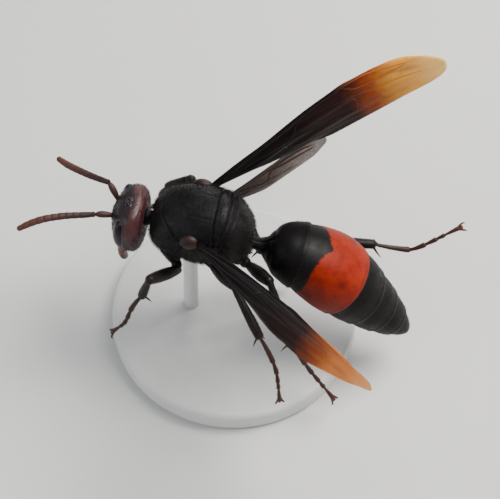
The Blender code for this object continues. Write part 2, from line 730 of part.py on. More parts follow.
def make_stand():
    rings = ((BASE_RADIUS - BASE_BEVEL, 0.0), (BASE_RADIUS, BASE_BEVEL),
             (BASE_RADIUS, BASE_HEIGHT - BASE_BEVEL), (BASE_RADIUS - BASE_BEVEL, BASE_HEIGHT))
    sides = 48
    loops = []
    for radius, height in rings:
        loops.append([Vector((radius * cos(tau * i / sides), radius * sin(tau * i / sides), height))
                      for i in range(sides)])
    base = loft("stand_base", loops)
    foot = Vector((THORAX_CENTRE.x + ROD_X, 0.0, BASE_HEIGHT + GAP))
    top = THORAX_CENTRE + Vector((ROD_X, 0.0, -2.0))
    rod = limb("stand_rod", (foot, top), (ROD_RADIUS, ROD_RADIUS), 24)
    return base, rod


# The whole hornet

def wear(bodies, name, finish):
    material = finish_material(name, finish)
    for body in bodies:
        body.data.materials.clear()
        body.data.materials.append(material)


def main():
    clear_scene()
    prothorax, mesothorax, metathorax = make_thorax()
    black = [prothorax, mesothorax, metathorax]
    head = make_head()
    neck = make_neck()
    maroon = [head, neck]
    eyes = []
    sockets = []
    red_brown = []
    forewings = []
    hindwings = []
    for side_name, side in (("l", -1), ("r", 1)):
        mandible = make_mandible("mandible_" + side_name, side)
        cut(mandible, head)
        maroon.append(mandible)
        scape, flagellum = make_antenna(side_name, side)
        cut(scape, head)
        eyes.append(make_eye("eye_" + side_name, side))
        sockets.append(make_eye("socket_" + side_name, side, SOCKET_GAP))

        tegula = make_tegula("tegula_" + side_name, side)
        cut(tegula, mesothorax)
        cut(tegula, prothorax)
        red_brown.extend((scape, flagellum, tegula))
        fore_frame, hind_frame = wing_frames(side_name, side)
        forewing = make_wing("forewing_" + side_name, FOREWING_OUTLINE, FOREWING_VEINS, fore_frame,
                             WING_LENGTH, FOREWING_PITCH[side_name], FOREWING_TWIST[side_name],
                             FOREWING_BOW[side_name], FOREWING_BEND[side_name])
        hindwing = make_wing("hindwing_" + side_name, HINDWING_OUTLINE, HINDWING_VEINS, hind_frame,
                             HINDWING_LENGTH)
        cut(forewing, mesothorax)
        cut(forewing, tegula)
        cut(hindwing, mesothorax)
        cut(hindwing, metathorax)
        forewings.append(forewing)
        hindwings.append(hindwing)
    for socket in sockets:
        cut(head, socket, 0.0)
        bpy.data.objects.remove(socket, do_unlink=True)

    gaster = make_gaster()
    cut(gaster[0], metathorax)
    black.extend(gaster[:1] + gaster[2:])
    rings = {"front": (prothorax, mesothorax), "mid": (mesothorax,),
             "hind": (metathorax, mesothorax)}
    for leg_name, course in LEG_COURSES.items():
        coxa, femur, tibia, tarsus = make_leg(leg_name, course)
        for ring in rings[leg_name.split("_")[0]]:
            cut(coxa, ring)
        black.extend((coxa, femur, tibia))
        red_brown.append(tarsus)
    base, rod = make_stand()
    cut(rod, mesothorax)
    cut(head, neck)
    cut(prothorax, neck)

    wear(black, "shell_black", BLACK_SHELL)
    wear(maroon, "shell_maroon", MAROON_SHELL)
    wear(eyes, "eye_facets", EYE_FACETS)
    wear(red_brown, "shell_red_brown", RED_BROWN)
    wear(forewings, "wing_dark", DARK_WING)
    wear(hindwings, "wing_smoky", SMOKY_WING)
    wear([gaster[1]], "band_orange", ORANGE_BAND)
    wear([base, rod], "stand_pale", PALE_STAND)

    for body in bpy.context.scene.objects:
        body.data.transform(Matrix.Scale(METRES_PER_MM, 4))
        body.data.shade_smooth()
        body.data.set_sharp_from_angle(angle=radians(35))


main()
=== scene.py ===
# The looks of the greater banded hornet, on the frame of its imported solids.
# Shapes are worked out in millimetres from the middle of the thorax, and placed in
# metres. The hornet faces -X, its left side is -Y and up is +Z.

from math import cos, pi, radians, sin, sqrt, tau

import bmesh
import bpy
import numpy as np
from mathutils import Matrix, Vector
from mathutils.geometry import delaunay_2d_cdt


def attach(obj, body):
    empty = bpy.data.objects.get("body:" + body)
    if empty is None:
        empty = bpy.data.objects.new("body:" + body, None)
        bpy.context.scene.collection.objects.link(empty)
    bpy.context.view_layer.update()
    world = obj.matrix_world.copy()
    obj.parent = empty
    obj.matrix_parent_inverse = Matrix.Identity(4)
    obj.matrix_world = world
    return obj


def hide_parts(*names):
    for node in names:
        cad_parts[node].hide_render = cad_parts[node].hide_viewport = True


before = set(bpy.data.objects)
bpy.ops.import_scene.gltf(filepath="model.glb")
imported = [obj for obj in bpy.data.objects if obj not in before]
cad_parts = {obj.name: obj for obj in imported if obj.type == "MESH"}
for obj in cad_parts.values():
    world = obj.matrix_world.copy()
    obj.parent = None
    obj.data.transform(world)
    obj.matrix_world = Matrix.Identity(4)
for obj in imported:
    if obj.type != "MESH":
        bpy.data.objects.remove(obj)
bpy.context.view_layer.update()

# Driving dimensions, the same as the solids have
METRES_PER_MM = 0.001
PER_MM = 1.0 / METRES_PER_MM
THORAX_CENTRE = np.array((-2.5, 0.0, 15.6))
STAND_RADIUS = 10.0
STAND_HEIGHT = 2.0
STAND_ROUND = 0.4
STAND_ROUND_STEPS = 9
BASE_SIDES = 160
ROD_SIDES = 48
ROD_RADIUS = 0.6
ROD_X = -1.1
HEAD_CENTRE = np.array((-5.60, 0.0, -1.35))
HEAD_TILT = radians(2)
SIDES = (("l", -1), ("r", 1))
X_AXIS = np.array((1.0, 0.0, 0.0))
Y_AXIS = np.array((0.0, 1.0, 0.0))
Z_AXIS = np.array((0.0, 0.0, 1.0))


# Node materials

class Shader:
    """Adds nodes to one material and links them. Lengths are in mm."""

    def __init__(self, name):
        self.material = bpy.data.materials.new(name)
        self.material.use_nodes = True
        self.nodes = self.material.node_tree.nodes
        self.links = self.material.node_tree.links
        self.shader = self.nodes["Principled BSDF"]

    def plug(self, value, socket):
        if isinstance(value, bpy.types.NodeSocket):
            self.links.new(value, socket)
        else:
            socket.default_value = (*value, 1.0) if isinstance(value, tuple) else value

    def node(self, kind, output, inputs, **settings):
        """One output of a new node."""
        node = self.nodes.new("ShaderNode" + kind)
        for key, value in settings.items():
            setattr(node, key, value)
        for key, value in inputs.items():
            self.plug(value, node.inputs[key])
        return node.outputs[output]

    def place(self):
        return self.node("TexCoord", "Object", {})

    def noise(self, per_mm, detail=3.0):
        inputs = {"Vector": self.place(), "Scale": per_mm * PER_MM, "Detail": detail, "Roughness": 0.55}
        return self.node("TexNoise", "Fac", inputs)

    def cells(self, per_mm):
        inputs = {"Vector": self.place(), "Scale": per_mm * PER_MM}
        return self.node("TexVoronoi", "Distance", inputs)

    def math(self, operation, first, second):
        return self.node("Math", "Value", {0: first, 1: second}, operation=operation)

    def signed(self, value, size):
        """A value from 0 to 1, made to run from -size / 2 to size / 2."""
        return self.math("MULTIPLY", self.math("SUBTRACT", value, 0.5), size)

    def ramp(self, value, low, high, out_low=0.0, out_high=1.0):
        inputs = {"Value": value, "From Min": low, "From Max": high, "To Min": out_low, "To Max": out_high}
        return self.node("MapRange", "Result", inputs, interpolation_type="SMOOTHSTEP")

    def mix(self, factor, first, second):
        return self.node("Mix", 2, {0: factor, 6: first, 7: second}, data_type="RGBA")

    def attribute(self, name):
        return self.node("Attribute", "Fac", {}, attribute_name=name)

    def bump(self, *layers):
        """Bump layers as (height, strength, depth), one over the other."""
        normal = None
        for height, strength, depth in layers:
            inputs = {"Height": height, "Strength": strength, "Distance": depth * METRES_PER_MM}
            if normal is not None:
                inputs["Normal"] = normal
            normal = self.node("Bump", "Normal", inputs)
        self.links.new(normal, self.shader.inputs["Normal"])

    def pits(self, per_mm, edge, strength, depth, grain_per_mm, grain_strength):
        """Fine pits with a faint grain between them."""
        self.bump((self.ramp(self.cells(per_mm), 0.0, edge), strength, depth),
                  (self.noise(grain_per_mm, 2.0), grain_strength, 0.004))

    def finish(self, colour, roughness, gloss=0.5, cover=1.0):
        for key, value in (("Base Color", colour), ("Roughness", roughness), ("Specular IOR Level", gloss),
                           ("Alpha", cover)):
            self.plug(value, self.shader.inputs[key])
        return self.material


def shell_material(name, dark, light, roughness, pits=11.0, gloss=0.16):
    """Hard insect shell: two tones in soft clouds, fine pits and a faint grain."""
    make = Shader(name)
    colour = make.mix(make.ramp(make.noise(0.7, 4.0), 0.35, 0.65), dark, light)
    make.pits(pits, 0.30, 0.30, 0.010, 30, 0.25)
    shine = make.ramp(make.noise(2.2), 0.3, 0.7, roughness - 0.06, roughness + 0.08)
    return make.finish(colour, shine, gloss)


# Mesh tools

def blend_keys(keys, steps):
    """Rows read from a smooth curve through the key rows."""
    rows = np.array(keys)
    rows = np.vstack((2 * rows[0] - rows[1], rows, 2 * rows[-1] - rows[-2]))
    t = (np.arange(steps) / steps)[:, None]
    result = []
    for before, start, end, after in zip(rows, rows[1:], rows[2:], rows[3:]):
        second = t * t * (before - 2.5 * start + 2 * end - 0.5 * after)
        third = t ** 3 * 0.5 * (3 * (start - end) + after - before)
        result.append(start + 0.5 * t * (end - before) + second + third)
    return np.vstack(result + [rows[-2]])


def unit(vectors):
    return np.asarray(vectors) / (np.linalg.norm(vectors, axis=-1, keepdims=True) + 1e-12)


def smoothstep(low, high, value):
    part = np.clip((value - low) / (high - low), 0.0, 1.0)
    return part * part * (3 - 2 * part)


def fade(low, high, value):
    """1 below low, falling softly to 0 at high."""
    return 1 - smoothstep(low, high, value)


def between(value, low, start, end, high):
    """1 from start to end, falling softly to 0 at low and high."""
    return smoothstep(low, start, value) * fade(end, high, value)


def groove(distance, width):
    """1 on a line and 0 away from it, for a line's distance in mm."""
    return np.exp(-(distance / width) ** 2)


def add_to_scene(name, data):
    item = bpy.data.objects.new(name, data)
    bpy.context.scene.collection.objects.link(item)
    return item


def add_piece(name, shape, looks, nodes, layers=None, patches=None, look_numbers=None):
    """A smooth mesh that rides on the body and stands for CAD nodes."""
    points, faces = shape
    mesh = bpy.data.meshes.new(name)
    mesh.from_pydata(((points + THORAX_CENTRE) * METRES_PER_MM).tolist(), [], faces)
    for layer_name, values in (layers or {}).items():
        layer = mesh.attributes.new(layer_name, "FLOAT", "POINT")
        layer.data.foreach_set("value", values.astype(np.float32))
    if patches is not None:
        corners = np.empty(len(mesh.loops), dtype=np.int32)
        mesh.loops.foreach_get("vertex_index", corners)
        bake = mesh.uv_layers.new(name="OFBake")
        bake.data.foreach_set("uv", patches.astype(np.float32)[corners].ravel())
    for look in looks:
        mesh.materials.append(look)
    if look_numbers is not None:
        mesh.polygons.foreach_set("material_index", look_numbers)
    mesh.shade_smooth()
    mesh.validate()
    piece = add_to_scene(name, mesh)
    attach(piece, "root")
    if nodes:
        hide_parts(*nodes)
    return piece


def closed_tube(grid):
    """Points and outward faces of a tube of rings, closed at both ends with a fan."""
    rings, sides = grid.shape[:2]
    points = np.concatenate((grid.reshape(-1, 3), [grid[0].mean(0)], [grid[-1].mean(0)]))
    start, last = rings * sides, (rings - 1) * sides
    pairs = [(k, (k + 1) % sides) for k in range(sides)]
    faces = [(near + k, near + sides + k, near + sides + after, near + after)
             for near in range(0, last, sides) for k, after in pairs]
    for k, after in pairs:
        faces += [(start, k, after), (start + 1, last + after, last + k)]
    return points, faces


def grid_normals(grid):
    """Outward directions on a grid of rings."""
    along = np.gradient(grid, axis=0)
    across = np.roll(grid, -1, 1) - np.roll(grid, 1, 1)
    normals = unit(np.cross(across, along))
    outward = grid - grid.mean(axis=1, keepdims=True)
    sign = np.sign((normals * outward).sum(-1, keepdims=True).mean(axis=1, keepdims=True))
    return normals * np.where(sign == 0, 1, sign)


def oval_grid(centres, ups, widths, above, below, sides, power):
    """Rings of an oval with its own height above and below its middle. A power over 2 makes it squarer."""
    angles = tau * (np.arange(sides) + 0.5) / sides
    across, over = [np.abs(wave) ** (2 / power) * np.sign(wave) for wave in (np.cos(angles), np.sin(angles))]
    widths = across * widths[:, None]
    heights = np.where(over > 0, above[:, None], below[:, None]) * over
    return centres[:, None] + widths[..., None] * Y_AXIS + ups[:, None] * heights[..., None]


def path_frames(path):
    """Two directions across a path, which don't spin along it."""
    tangents = unit(np.gradient(path, axis=0))
    sides = [unit(np.cross(tangents[0], Z_AXIS if abs(tangents[0][2]) < 0.9 else X_AXIS))]
    for tangent in tangents[1:]:
        sides.append(unit(sides[-1] - tangent * np.dot(sides[-1], tangent)))
    return np.array(sides), np.cross(tangents, sides)


def tube_grid(path, radii, sides, flatness=1.0, relief=None):
    """Rings round a path. The relief adds height by share of length and angle."""
    side, over = path_frames(path)
    angles = tau * np.arange(sides) / sides
    radii = np.asarray(radii)[:, None] * np.ones(sides)
    if relief is not None:
        radii = radii + relief(np.linspace(0, 1, len(path))[:, None], angles)
    return (path[:, None] + side[:, None] * (radii * np.cos(angles))[..., None]
            + over[:, None] * (radii * np.sin(angles) * flatness)[..., None])


def lengths_along(path):
    """How far along a path each of its points lies."""
    return np.concatenate(([0.0], np.cumsum(np.linalg.norm(np.diff(path, axis=0), axis=1))))


def resampled(path, count):
    """Evenly spaced points along a path."""
    path = np.asarray(path)
    along = lengths_along(path)
    at = np.linspace(0, along[-1], count)
    return np.stack([np.interp(at, along, column) for column in path.T], axis=1)


def sampled(values, count):
    return np.interp(np.linspace(0, 1, count), np.linspace(0, 1, len(values)), values)


def rod(path, radii, rings, sides, flatness=1.0):
    """A closed tube round a path, with its radii spread evenly from one end to the other."""
    return closed_tube(tube_grid(resampled(path, rings), sampled(radii, rings), sides, flatness))


def ring_values(values, sides):
    """A value for each point of a closed tube, from one for each ring."""
    return np.concatenate((np.repeat(values, sides, axis=0), values[:1], values[-1:]))


def gathered(parts):
    """Several (points, faces) pairs as one."""
    points, faces, count = [], [], 0
    for part_points, part_faces in parts:
        points.append(part_points)
        faces.extend(tuple(corner + count for corner in face) for face in part_faces)
        count += len(part_points)
    return np.concatenate(points), faces


# Thorax: (x, middle height, half width, height above, height below)
THORAX_KEYS = (
    (-4.15, -0.60, 0.85, 0.65, 0.65),
    (-4.00, -0.55, 1.60, 1.30, 1.25),
    (-3.45, -0.40, 2.30, 1.90, 2.00),
    (-2.60, -0.25, 2.70, 2.35, 2.60),
    (-1.20, -0.15, 2.95, 2.65, 3.00),
    (0.30, -0.15, 3.05, 2.75, 3.10),
    (1.60, -0.20, 2.92, 2.70, 2.95),
    (2.60, -0.35, 2.60, 2.50, 2.55),
    (3.30, -0.65, 2.15, 2.00, 1.95),
    (3.82, -1.10, 1.55, 1.35, 1.25),
    (4.10, -1.55, 0.85, 0.65, 0.65),
)
SCUTELLUM = (1.75, 0.55, 1.25, 0.22)
PROPODEUM_GROOVE = (3.3, 0.9, 0.45, 0.16)
THORAX_SIDES = 200
THORAX_STEPS = 20
THORAX_POWER = 2.2


def swelling(shape, along, across):
    """Height of a soft bump: its place along the body, half length, half width and height."""
    place, half_length, half_width, height = shape
    return height * np.exp(-((along - place) / half_length) ** 2 - (across / half_width) ** 2)


def seam(distance, depth, width, lip):
    """A groove with a faint raised lip on each side, as where two plates meet."""
    return lip * groove(distance, width * 3.2) - (depth + lip) * groove(distance, width)


def thorax_relief(grid, middles):
    """The seams between the plates of the thorax, and the plates' own swelling."""
    x, y = grid[..., 0], grid[..., 1]
    turn = np.degrees(np.arctan2(np.abs(y), grid[..., 2] - middles[:, None]))
    top = fade(58, 68, turn)
    # the collar's rear edge arches over the back to the wing roots, then runs down to the leg
    collar = np.where(turn < 72, -3.30 + 2.35 * (turn / 72) ** 2.3, -0.95 - (turn - 72) / 65 * 1.75)
    height = seam(x - collar, 0.13, 0.070, 0.045) * fade(135, 150, turn)
    height += 0.05 * smoothstep(0.0, 0.7, x - collar) * top * fade(0.6, 1.2, x)
    # the back plate, its middle line and its two side lines
    height += seam(y, 0.035, 0.045, 0.015) * between(x, -3.0, -2.6, -0.9, -0.3)
    height += seam(np.abs(y) - 1.10, 0.045, 0.05, 0.02) * between(x, -1.3, -0.8, 0.9, 1.1) * top
    # the shield behind it, the narrow plate and the sloping rear plate
    for place, bow, depth, width in ((1.12, 0.10 * (y / 1.8) ** 2, 0.16, 0.075),
                                     (2.22, -0.16 * (y / 1.5) ** 2, 0.13, 0.065),
                                     (2.72, -0.22 * (y / 1.5) ** 2, 0.13, 0.065)):
        height += seam(x - place - bow, depth, width, 0.05) * fade(56, 70, turn)
    height += seam(y, 0.05, 0.06, 0.02) * between(x, 1.2, 1.4, 2.0, 2.2) * top
    # edge of the back above the wings, then the plates of the sides
    height += seam((turn - 66) * 0.048, 0.15, 0.09, 0.06) * between(x, -1.2, -0.8, 2.3, 2.8)
    for place, slant, depth, width, lip in ((0.05, 0.9, 0.10, 0.07, 0.03), (1.45, 0.5, 0.13, 0.08, 0.05),
                                            (2.35, 0.1, 0.10, 0.07, 0.04)):
        edge = place + (turn - 80) / 60 * slant
        height += seam(x - edge, depth, width, lip) * between(turn, 70, 80, 128, 145)
    height += seam((turn - 104) * 0.05, 0.06, 0.06, 0.02) * between(x, -1.9, -1.4, 0.2, 0.5)
    return height + seam(180 - turn, 0.06, 1.8, 0.0)


def thorax_surface():
    x, middle, wide, above, below = blend_keys(THORAX_KEYS, THORAX_STEPS).T
    centres = np.stack((x, 0 * x, middle), axis=1)
    ups = np.tile(Z_AXIS, (len(x), 1))
    grid = oval_grid(centres, ups, wide, above, below, THORAX_SIDES, THORAX_POWER)
    place = x[:, None], grid[..., 1]
    raised = swelling(SCUTELLUM, *place) - swelling(PROPODEUM_GROOVE, *place)
    grid[..., 2] += raised * smoothstep(0.0, 0.4, grid[..., 2] - middle[:, None])
    return grid + grid_normals(grid) * thorax_relief(grid, middle)[..., None]


# Head, in its own frame: forward, left to right, up
HEAD_FORWARD = np.array((-cos(HEAD_TILT), 0.0, -sin(HEAD_TILT)))
HEAD_UP = np.array((-sin(HEAD_TILT), 0.0, cos(HEAD_TILT)))

# (height, half width, depth to the face, depth to the back)
HEAD_KEYS = (
    (2.44, 0.12, 0.06, 0.05),
    (2.43, 0.48, 0.22, 0.20),
    (2.40, 0.85, 0.40, 0.35),
    (2.25, 1.50, 0.85, 0.65),
    (1.75, 2.12, 1.30, 0.95),
    (0.95, 2.50, 1.62, 1.10),
    (0.00, 2.60, 1.70, 1.12),
    (-0.90, 2.45, 1.58, 1.00),
    (-1.70, 2.08, 1.42, 0.80),
    (-2.35, 1.58, 1.24, 0.45),
    (-2.80, 1.08, 0.98, 0.15),
)
CLYPEUS = (-1.45, 0.85, 1.15, 0.22)
EYE_CENTRE = (0.80, 1.76, 0.15)
EYE_SIZE = (0.62, 0.76, 1.68)
EYE_NOTCH_HEIGHT = 0.35
EYE_NOTCH_DEPTH = 0.22
EYE_NOTCH_REACH = 0.5
EYE_RINGS = 70
EYE_SIDES = 96
SOCKET = (1.58, 0.58, 1.00)
SHIELD_HEIGHT = -1.33
# The simple eyes: how far forward, to the side and up
OCELLI = ((0.66, 0.0, 2.33), (0.38, 0.27, 2.42))
OCELLUS_RADII = (0.13, 0.15, 0.13)
# How far forward the maroon reaches, by distance from the crown
MAROON_DISTANCES = (0, 1.0, 2.0, 3.4, 4.5)
MAROON_EDGES = (-0.17, 0.25, 0.35, -0.30, -0.55)
HEAD_SIDES = 200
HEAD_STEPS = 20
HEAD_POWER = 2.3


def head_point(forward, across, up):
    """Points in the head's frame, given as numbers or arrays, from the thorax's middle."""
    forward, across, up = [part[..., None] for part in np.broadcast_arrays(forward, across, up)]
    return HEAD_CENTRE + forward * HEAD_FORWARD + across * Y_AXIS + up * HEAD_UP


def head_place(points):
    """How far points are forward, sideways and up in the head's frame."""
    points = points - HEAD_CENTRE
    return points @ HEAD_FORWARD, np.abs(points[..., 1]), points @ HEAD_UP


def eye_reach(forward, across, up):
    """Under 1 inside an eye and over 1 outside it."""
    offsets = zip((forward, across, up), EYE_CENTRE, EYE_SIZE)
    return np.sqrt(sum(((part - centre) / size) ** 2 for part, centre, size in offsets))


def head_relief(forward, across, up):
    """Rims round the eyes, face shield, antenna sockets, brow line and the back of the head."""
    sideways = np.abs(across)
    # the socket of each eye and its rim
    in_eye = eye_reach(forward, sideways, up)
    height = -0.22 * fade(0.75, 0.98, in_eye)
    height += 0.045 * groove(in_eye - 1.13, 0.07) - 0.05 * groove(in_eye - 1.03, 0.03)
    # the face shield, with two lobes at its lower edge
    face = smoothstep(0.0, 0.5, forward)
    lobes = 0.07 * groove(sideways - 0.48, 0.26) - 0.15 * groove(across, 0.24)
    reach = 1.02 + lobes * (up < SHIELD_HEIGHT)
    shield = (np.abs(across / 1.22) ** 3 + np.abs((up - SHIELD_HEIGHT) / reach) ** 3) ** (1 / 3)
    height += face * (0.05 * fade(0.86, 1.0, shield) + seam(shield - 1.0, 0.09, 0.045, 0.03))
    # the feelers' sockets, the bulge between them and the line on the brow
    socket = np.hypot(sideways - SOCKET[1], up - SOCKET[2])
    height += face * (0.10 * groove(socket - 0.38, 0.09) - 0.22 * fade(0.20, 0.34, socket))
    height += face * 0.10 * groove(np.hypot(across / 0.30, (up - 0.75) / 0.55), 1)
    height += face * seam(across, 0.05, 0.045, 0.02) * between(up, 1.15, 1.4, 1.9, 2.1)
    # the edge behind the eyes, the rings of the simple eyes and the hollow for the neck
    behind = smoothstep(0.2, 0.5, -forward)
    height += behind * 0.035 * groove(forward + 0.62 + 0.05 * np.abs(up), 0.06)
    for place, spread, _ in OCELLI:
        ring = np.hypot(forward - place, sideways - spread)
        height += smoothstep(2.1, 2.3, up) * (0.05 * groove(ring - 0.20, 0.05) - 0.03 * groove(ring, 0.12))
    return height - behind * 0.35 * groove(across, 1.15) * groove(up - 0.45, 1.0)


def head_surface():
    up, wide, front, back = blend_keys(HEAD_KEYS, HEAD_STEPS).T
    forwards = np.tile(HEAD_FORWARD, (len(up), 1))
    grid = oval_grid(head_point(0.0, 0.0, up), forwards, wide, front, back, HEAD_SIDES, HEAD_POWER)
    across, up = grid[..., 1], up[:, None] + 0 * grid[..., 1]
    forward = (grid - HEAD_CENTRE) @ HEAD_FORWARD
    raised = swelling(CLYPEUS, up, across) * smoothstep(0.0, 0.4, forward)
    grid = grid + raised[..., None] * HEAD_FORWARD
    return grid + grid_normals(grid) * head_relief(forward, across, up)[..., None]


def eye_grid(side):
    """A tall kidney-shaped eye, notched in front beside the antenna."""
    tilt = pi * (np.arange(EYE_RINGS) + 0.5)[:, None] / EYE_RINGS
    turn = tau * np.arange(EYE_SIDES) / EYE_SIDES
    across = np.sin(tilt) * np.cos(turn)
    forward = np.sin(tilt) * np.sin(turn) * EYE_SIZE[0]
    up = np.cos(tilt) * EYE_SIZE[2] + 0 * turn
    notch = EYE_NOTCH_DEPTH * groove(up - EYE_NOTCH_HEIGHT, EYE_NOTCH_REACH) * np.maximum(0.0, -across) * 2
    forward = forward - np.where(forward > 0, notch, 0.0)
    return head_point(EYE_CENTRE[0] + forward, side * (EYE_CENTRE[1] + EYE_SIZE[1] * across),
                      EYE_CENTRE[2] + up)


# Gaster: (x, middle height, half width, height above, height below) along its middle line
GASTER_KEYS = (
    (3.7, -1.70, 0.50, 0.45, 0.45),
    (4.9, -1.95, 0.58, 0.55, 0.50),
    (5.5, -2.05, 1.35, 1.35, 1.05),
    (6.2, -2.15, 2.15, 2.15, 1.75),
    (7.3, -2.35, 2.65, 2.60, 2.25),
    (8.6, -2.85, 2.95, 2.80, 2.50),
    (10.5, -4.15, 3.28, 2.95, 2.75),
    (12.2, -5.95, 2.95, 2.60, 2.45),
    (13.6, -7.55, 2.50, 2.15, 2.05),
    (14.9, -9.05, 1.95, 1.70, 1.60),
    (15.9, -10.20, 1.35, 1.20, 1.10),
    (16.6, -11.05, 0.72, 0.65, 0.60),
    (16.9, -11.45, 0.28, 0.25, 0.22),
)
# Share of the gaster's length at which each ring ends
GASTER_ENDS = (0.0, 0.245, 0.512, 0.665, 0.795, 0.900, 1.0)
GASTER_LENGTH = 17.1
GASTER_SIDES = 180
GASTER_STEPS = 16
GASTER_POWER = 2.1
RING_STEPS = (64, 72, 44, 38, 34, 34)
BAND_RING = 1
LAST_RING = 5
RING_OVERLAP = 0.42
# The rounded rear lip of a ring: how far past its end, and how far inwards
RING_LIP = ((0.03, 0.0), (0.03, 0.035), (-0.03, 0.075), (-0.20, 0.16))
PLATE_STEP = 0.11
BACK_PLATE_EDGE = 112
# The orange band's front edge and how it swings, in shares of the gaster's length
BAND_FRONT = 0.286
BAND_NOTCH = 0.020
BAND_SWELL = 0.026
BAND_WAVE = 0.008
# Dark marks on the band: share of the length, turn from the top, stretch, depth and size
BAND_MARKS = ((0.422, 43.0, 1.0, 0.85, 0.38), (0.334, 94.0, 1.5, 0.9, 0.36))


def ring_relief(number, here, start, end, total, turn):
    """A ring's front step and rear lip, and the lap of its back plate over its belly plate."""
    flank = np.abs(turn)
    height = np.zeros_like(turn)
    if number > 0:
        height -= PLATE_STEP * fade(RING_OVERLAP - 0.1, RING_OVERLAP + 1.3, here - start)
    if number < LAST_RING:
        height += 0.025 * groove(end - here - 0.12, 0.14)
        height[-len(RING_LIP):] -= np.array([inward for _, inward in RING_LIP])[:, None]
    past = flank - BACK_PLATE_EDGE
    lap = 0.035 * groove(past + 3, 3.0) - 0.055 * smoothstep(-0.8, 0.8, past)
    height += smoothstep(0.6, 1.6, here) * (lap - 0.035 * groove(past - 1.5, 1.6))
    if number == 0:
        # the groove across the waist and the one along its top
        height -= 0.05 * groove(here - 0.115 * total, 0.10) * fade(60, 90, flank)
        height -= 0.09 * groove(turn * 0.035, 0.25) * fade(0.10, 0.16, here / total)
    return height


def gaster_ring(number):
    """One ring of the gaster: points, share along it and turn from the top, as grids."""
    rows = blend_keys(GASTER_KEYS, GASTER_STEPS)
    along = lengths_along(rows[:, :2])
    total = along[-1]
    start, end = np.array(GASTER_ENDS[number:number + 2]) * total
    start -= RING_OVERLAP if number > 0 else 0.0
    here = np.linspace(start, end, RING_STEPS[number])
    if number < LAST_RING:
        here = np.concatenate((here, end + np.array([offset for offset, _ in RING_LIP])))
    x, middle, wide, above, below = [np.interp(here, along, column) for column in rows.T]
    slope_x, slope_z = [np.interp(here + 0.1, along, column) - np.interp(here - 0.1, along, column)
                        for column in rows.T[:2]]
    tangents = unit(np.stack((slope_x, 0 * x, slope_z), axis=1))
    ups = np.stack((-tangents[:, 2], 0 * x, tangents[:, 0]), axis=1)
    centres = np.stack((x, 0 * x, middle), axis=1)
    grid = oval_grid(centres, ups, wide, above, below, GASTER_SIDES, GASTER_POWER)
    turn = np.degrees(np.arctan2(grid[..., 1], ((grid - centres[:, None]) * ups[:, None]).sum(-1)))
    here = here[:, None]
    height = ring_relief(number, here, start, end, total, turn)
    return grid + grid_normals(grid) * height[..., None], here / total + 0 * turn, turn


def band_layers(share, turn):
    """Where the second ring is orange, in mm from the colour's edge, its real dark marks with painted shade
    down its left flank, and its rear rim.
    """
    flank = np.abs(turn)
    front = BAND_FRONT + BAND_NOTCH * groove(turn, 9.0) + BAND_SWELL * groove(turn, 40.0)
    front += BAND_WAVE * np.sin(np.radians(turn * 3.0)) + 0.004 * smoothstep(60, 100, flank)
    # painted shade: the band grows darker down its left flank, the side away from the light
    marks_and_painted_shade = 0.65 * smoothstep(15, 100, -turn)
    for place, side, stretch, depth, size in BAND_MARKS:
        distance = np.hypot((share - place) * GASTER_LENGTH / stretch, (flank - side) * 0.055)
        # the real dark side marks are added on top of the painted shade
        marks_and_painted_shade = marks_and_painted_shade + depth * groove(distance, size)
    return {"orange": (share - front) * GASTER_LENGTH, "marks_and_painted_shade": marks_and_painted_shade,
            "rim": (share - GASTER_ENDS[2]) * GASTER_LENGTH + RING_OVERLAP}


# Neck, mandibles, feelers and mouthparts
NECK_ENDS = ((-5.0, 0.0, -0.85), (-3.5, 0.0, -0.65))
NECK_RINGS = 20
NECK_SIDES = 40
MANDIBLE_PATH = ((0.50, 1.35, -1.8), (0.85, 1.50, -2.6), (0.80, 1.55, -3.3), (0.55, 1.30, -4.15))
MANDIBLE_RADII = (0.56, 0.55, 0.54, 0.47, 0.40, 0.29, 0.07)
JAW_TOP = -2.2
JAW_LENGTH = 2.1
MANDIBLE_RINGS = 46
MANDIBLE_SIDES = 40
# Teeth: share of the jaw's length and radius
TEETH = ((0.60, 0.26), (0.75, 0.23), (0.88, 0.17))
TOOTH_RINGS = 24
TOOTH_SIDES = 24
# Upper lip and tongue plate: ends as (forward, up), radii and flatness
LIP_PLATES = (
    (((1.05, -2.35), (1.00, -2.95)), (0.55, 0.6, 0.56, 0.44, 0.10), 0.45),
    (((0.45, -2.5), (0.45, -3.3)), (0.5, 0.55, 0.52, 0.40, 0.10), 0.6),
)
LIP_RINGS = 40
LIP_SIDES = 48
PALP_SIDES = 10
# Palps: how far to the side, length and number of joints
PALPS = ((0.55, 1.25, 6), (0.28, 0.85, 4))
ANTENNA_COURSES = {
    "l": ((-8.6, -1.1, 0.0), (-9.4, -1.3, -0.05), (-10.9, -1.95, 0.35),
          (-12.3, -2.6, 0.5), (-13.4, -3.1, 0.25), (-14.45, -3.6, -0.3)),
    "r": ((-8.05, 1.6, 0.75), (-8.7, 1.85, 0.5), (-9.9, 2.35, 0.05),
          (-11.0, 2.85, -0.3), (-11.9, 3.3, -0.6), (-12.9, 3.9, -0.85)),
}
SCAPE_RADII = (0.15, 0.17, 0.21, 0.25, 0.28, 0.28, 0.24, 0.12)
SCAPE_RINGS = 30
# Lengths of the whip's eleven joints, compared with the third
JOINT_LENGTHS = (0.45, 1.75) + (1.0,) * 9
FLAGELLUM_RADIUS = 0.27
ANTENNA_SIDES = 28
WHIP_POINTS = 400
# A joint of the whip: share of its length and radius. The tip's rounding starts at a share of the whip
JOINT_SWELL = ((0.0, 0.80), (0.05, 0.93), (0.25, 0.97), (0.6, 1.0), (0.9, 1.02), (0.985, 0.93))
ROUNDING_START = 0.96
TIP_SHARES = (0.968, 0.980, 0.990, 0.996, 0.999, 1.0)


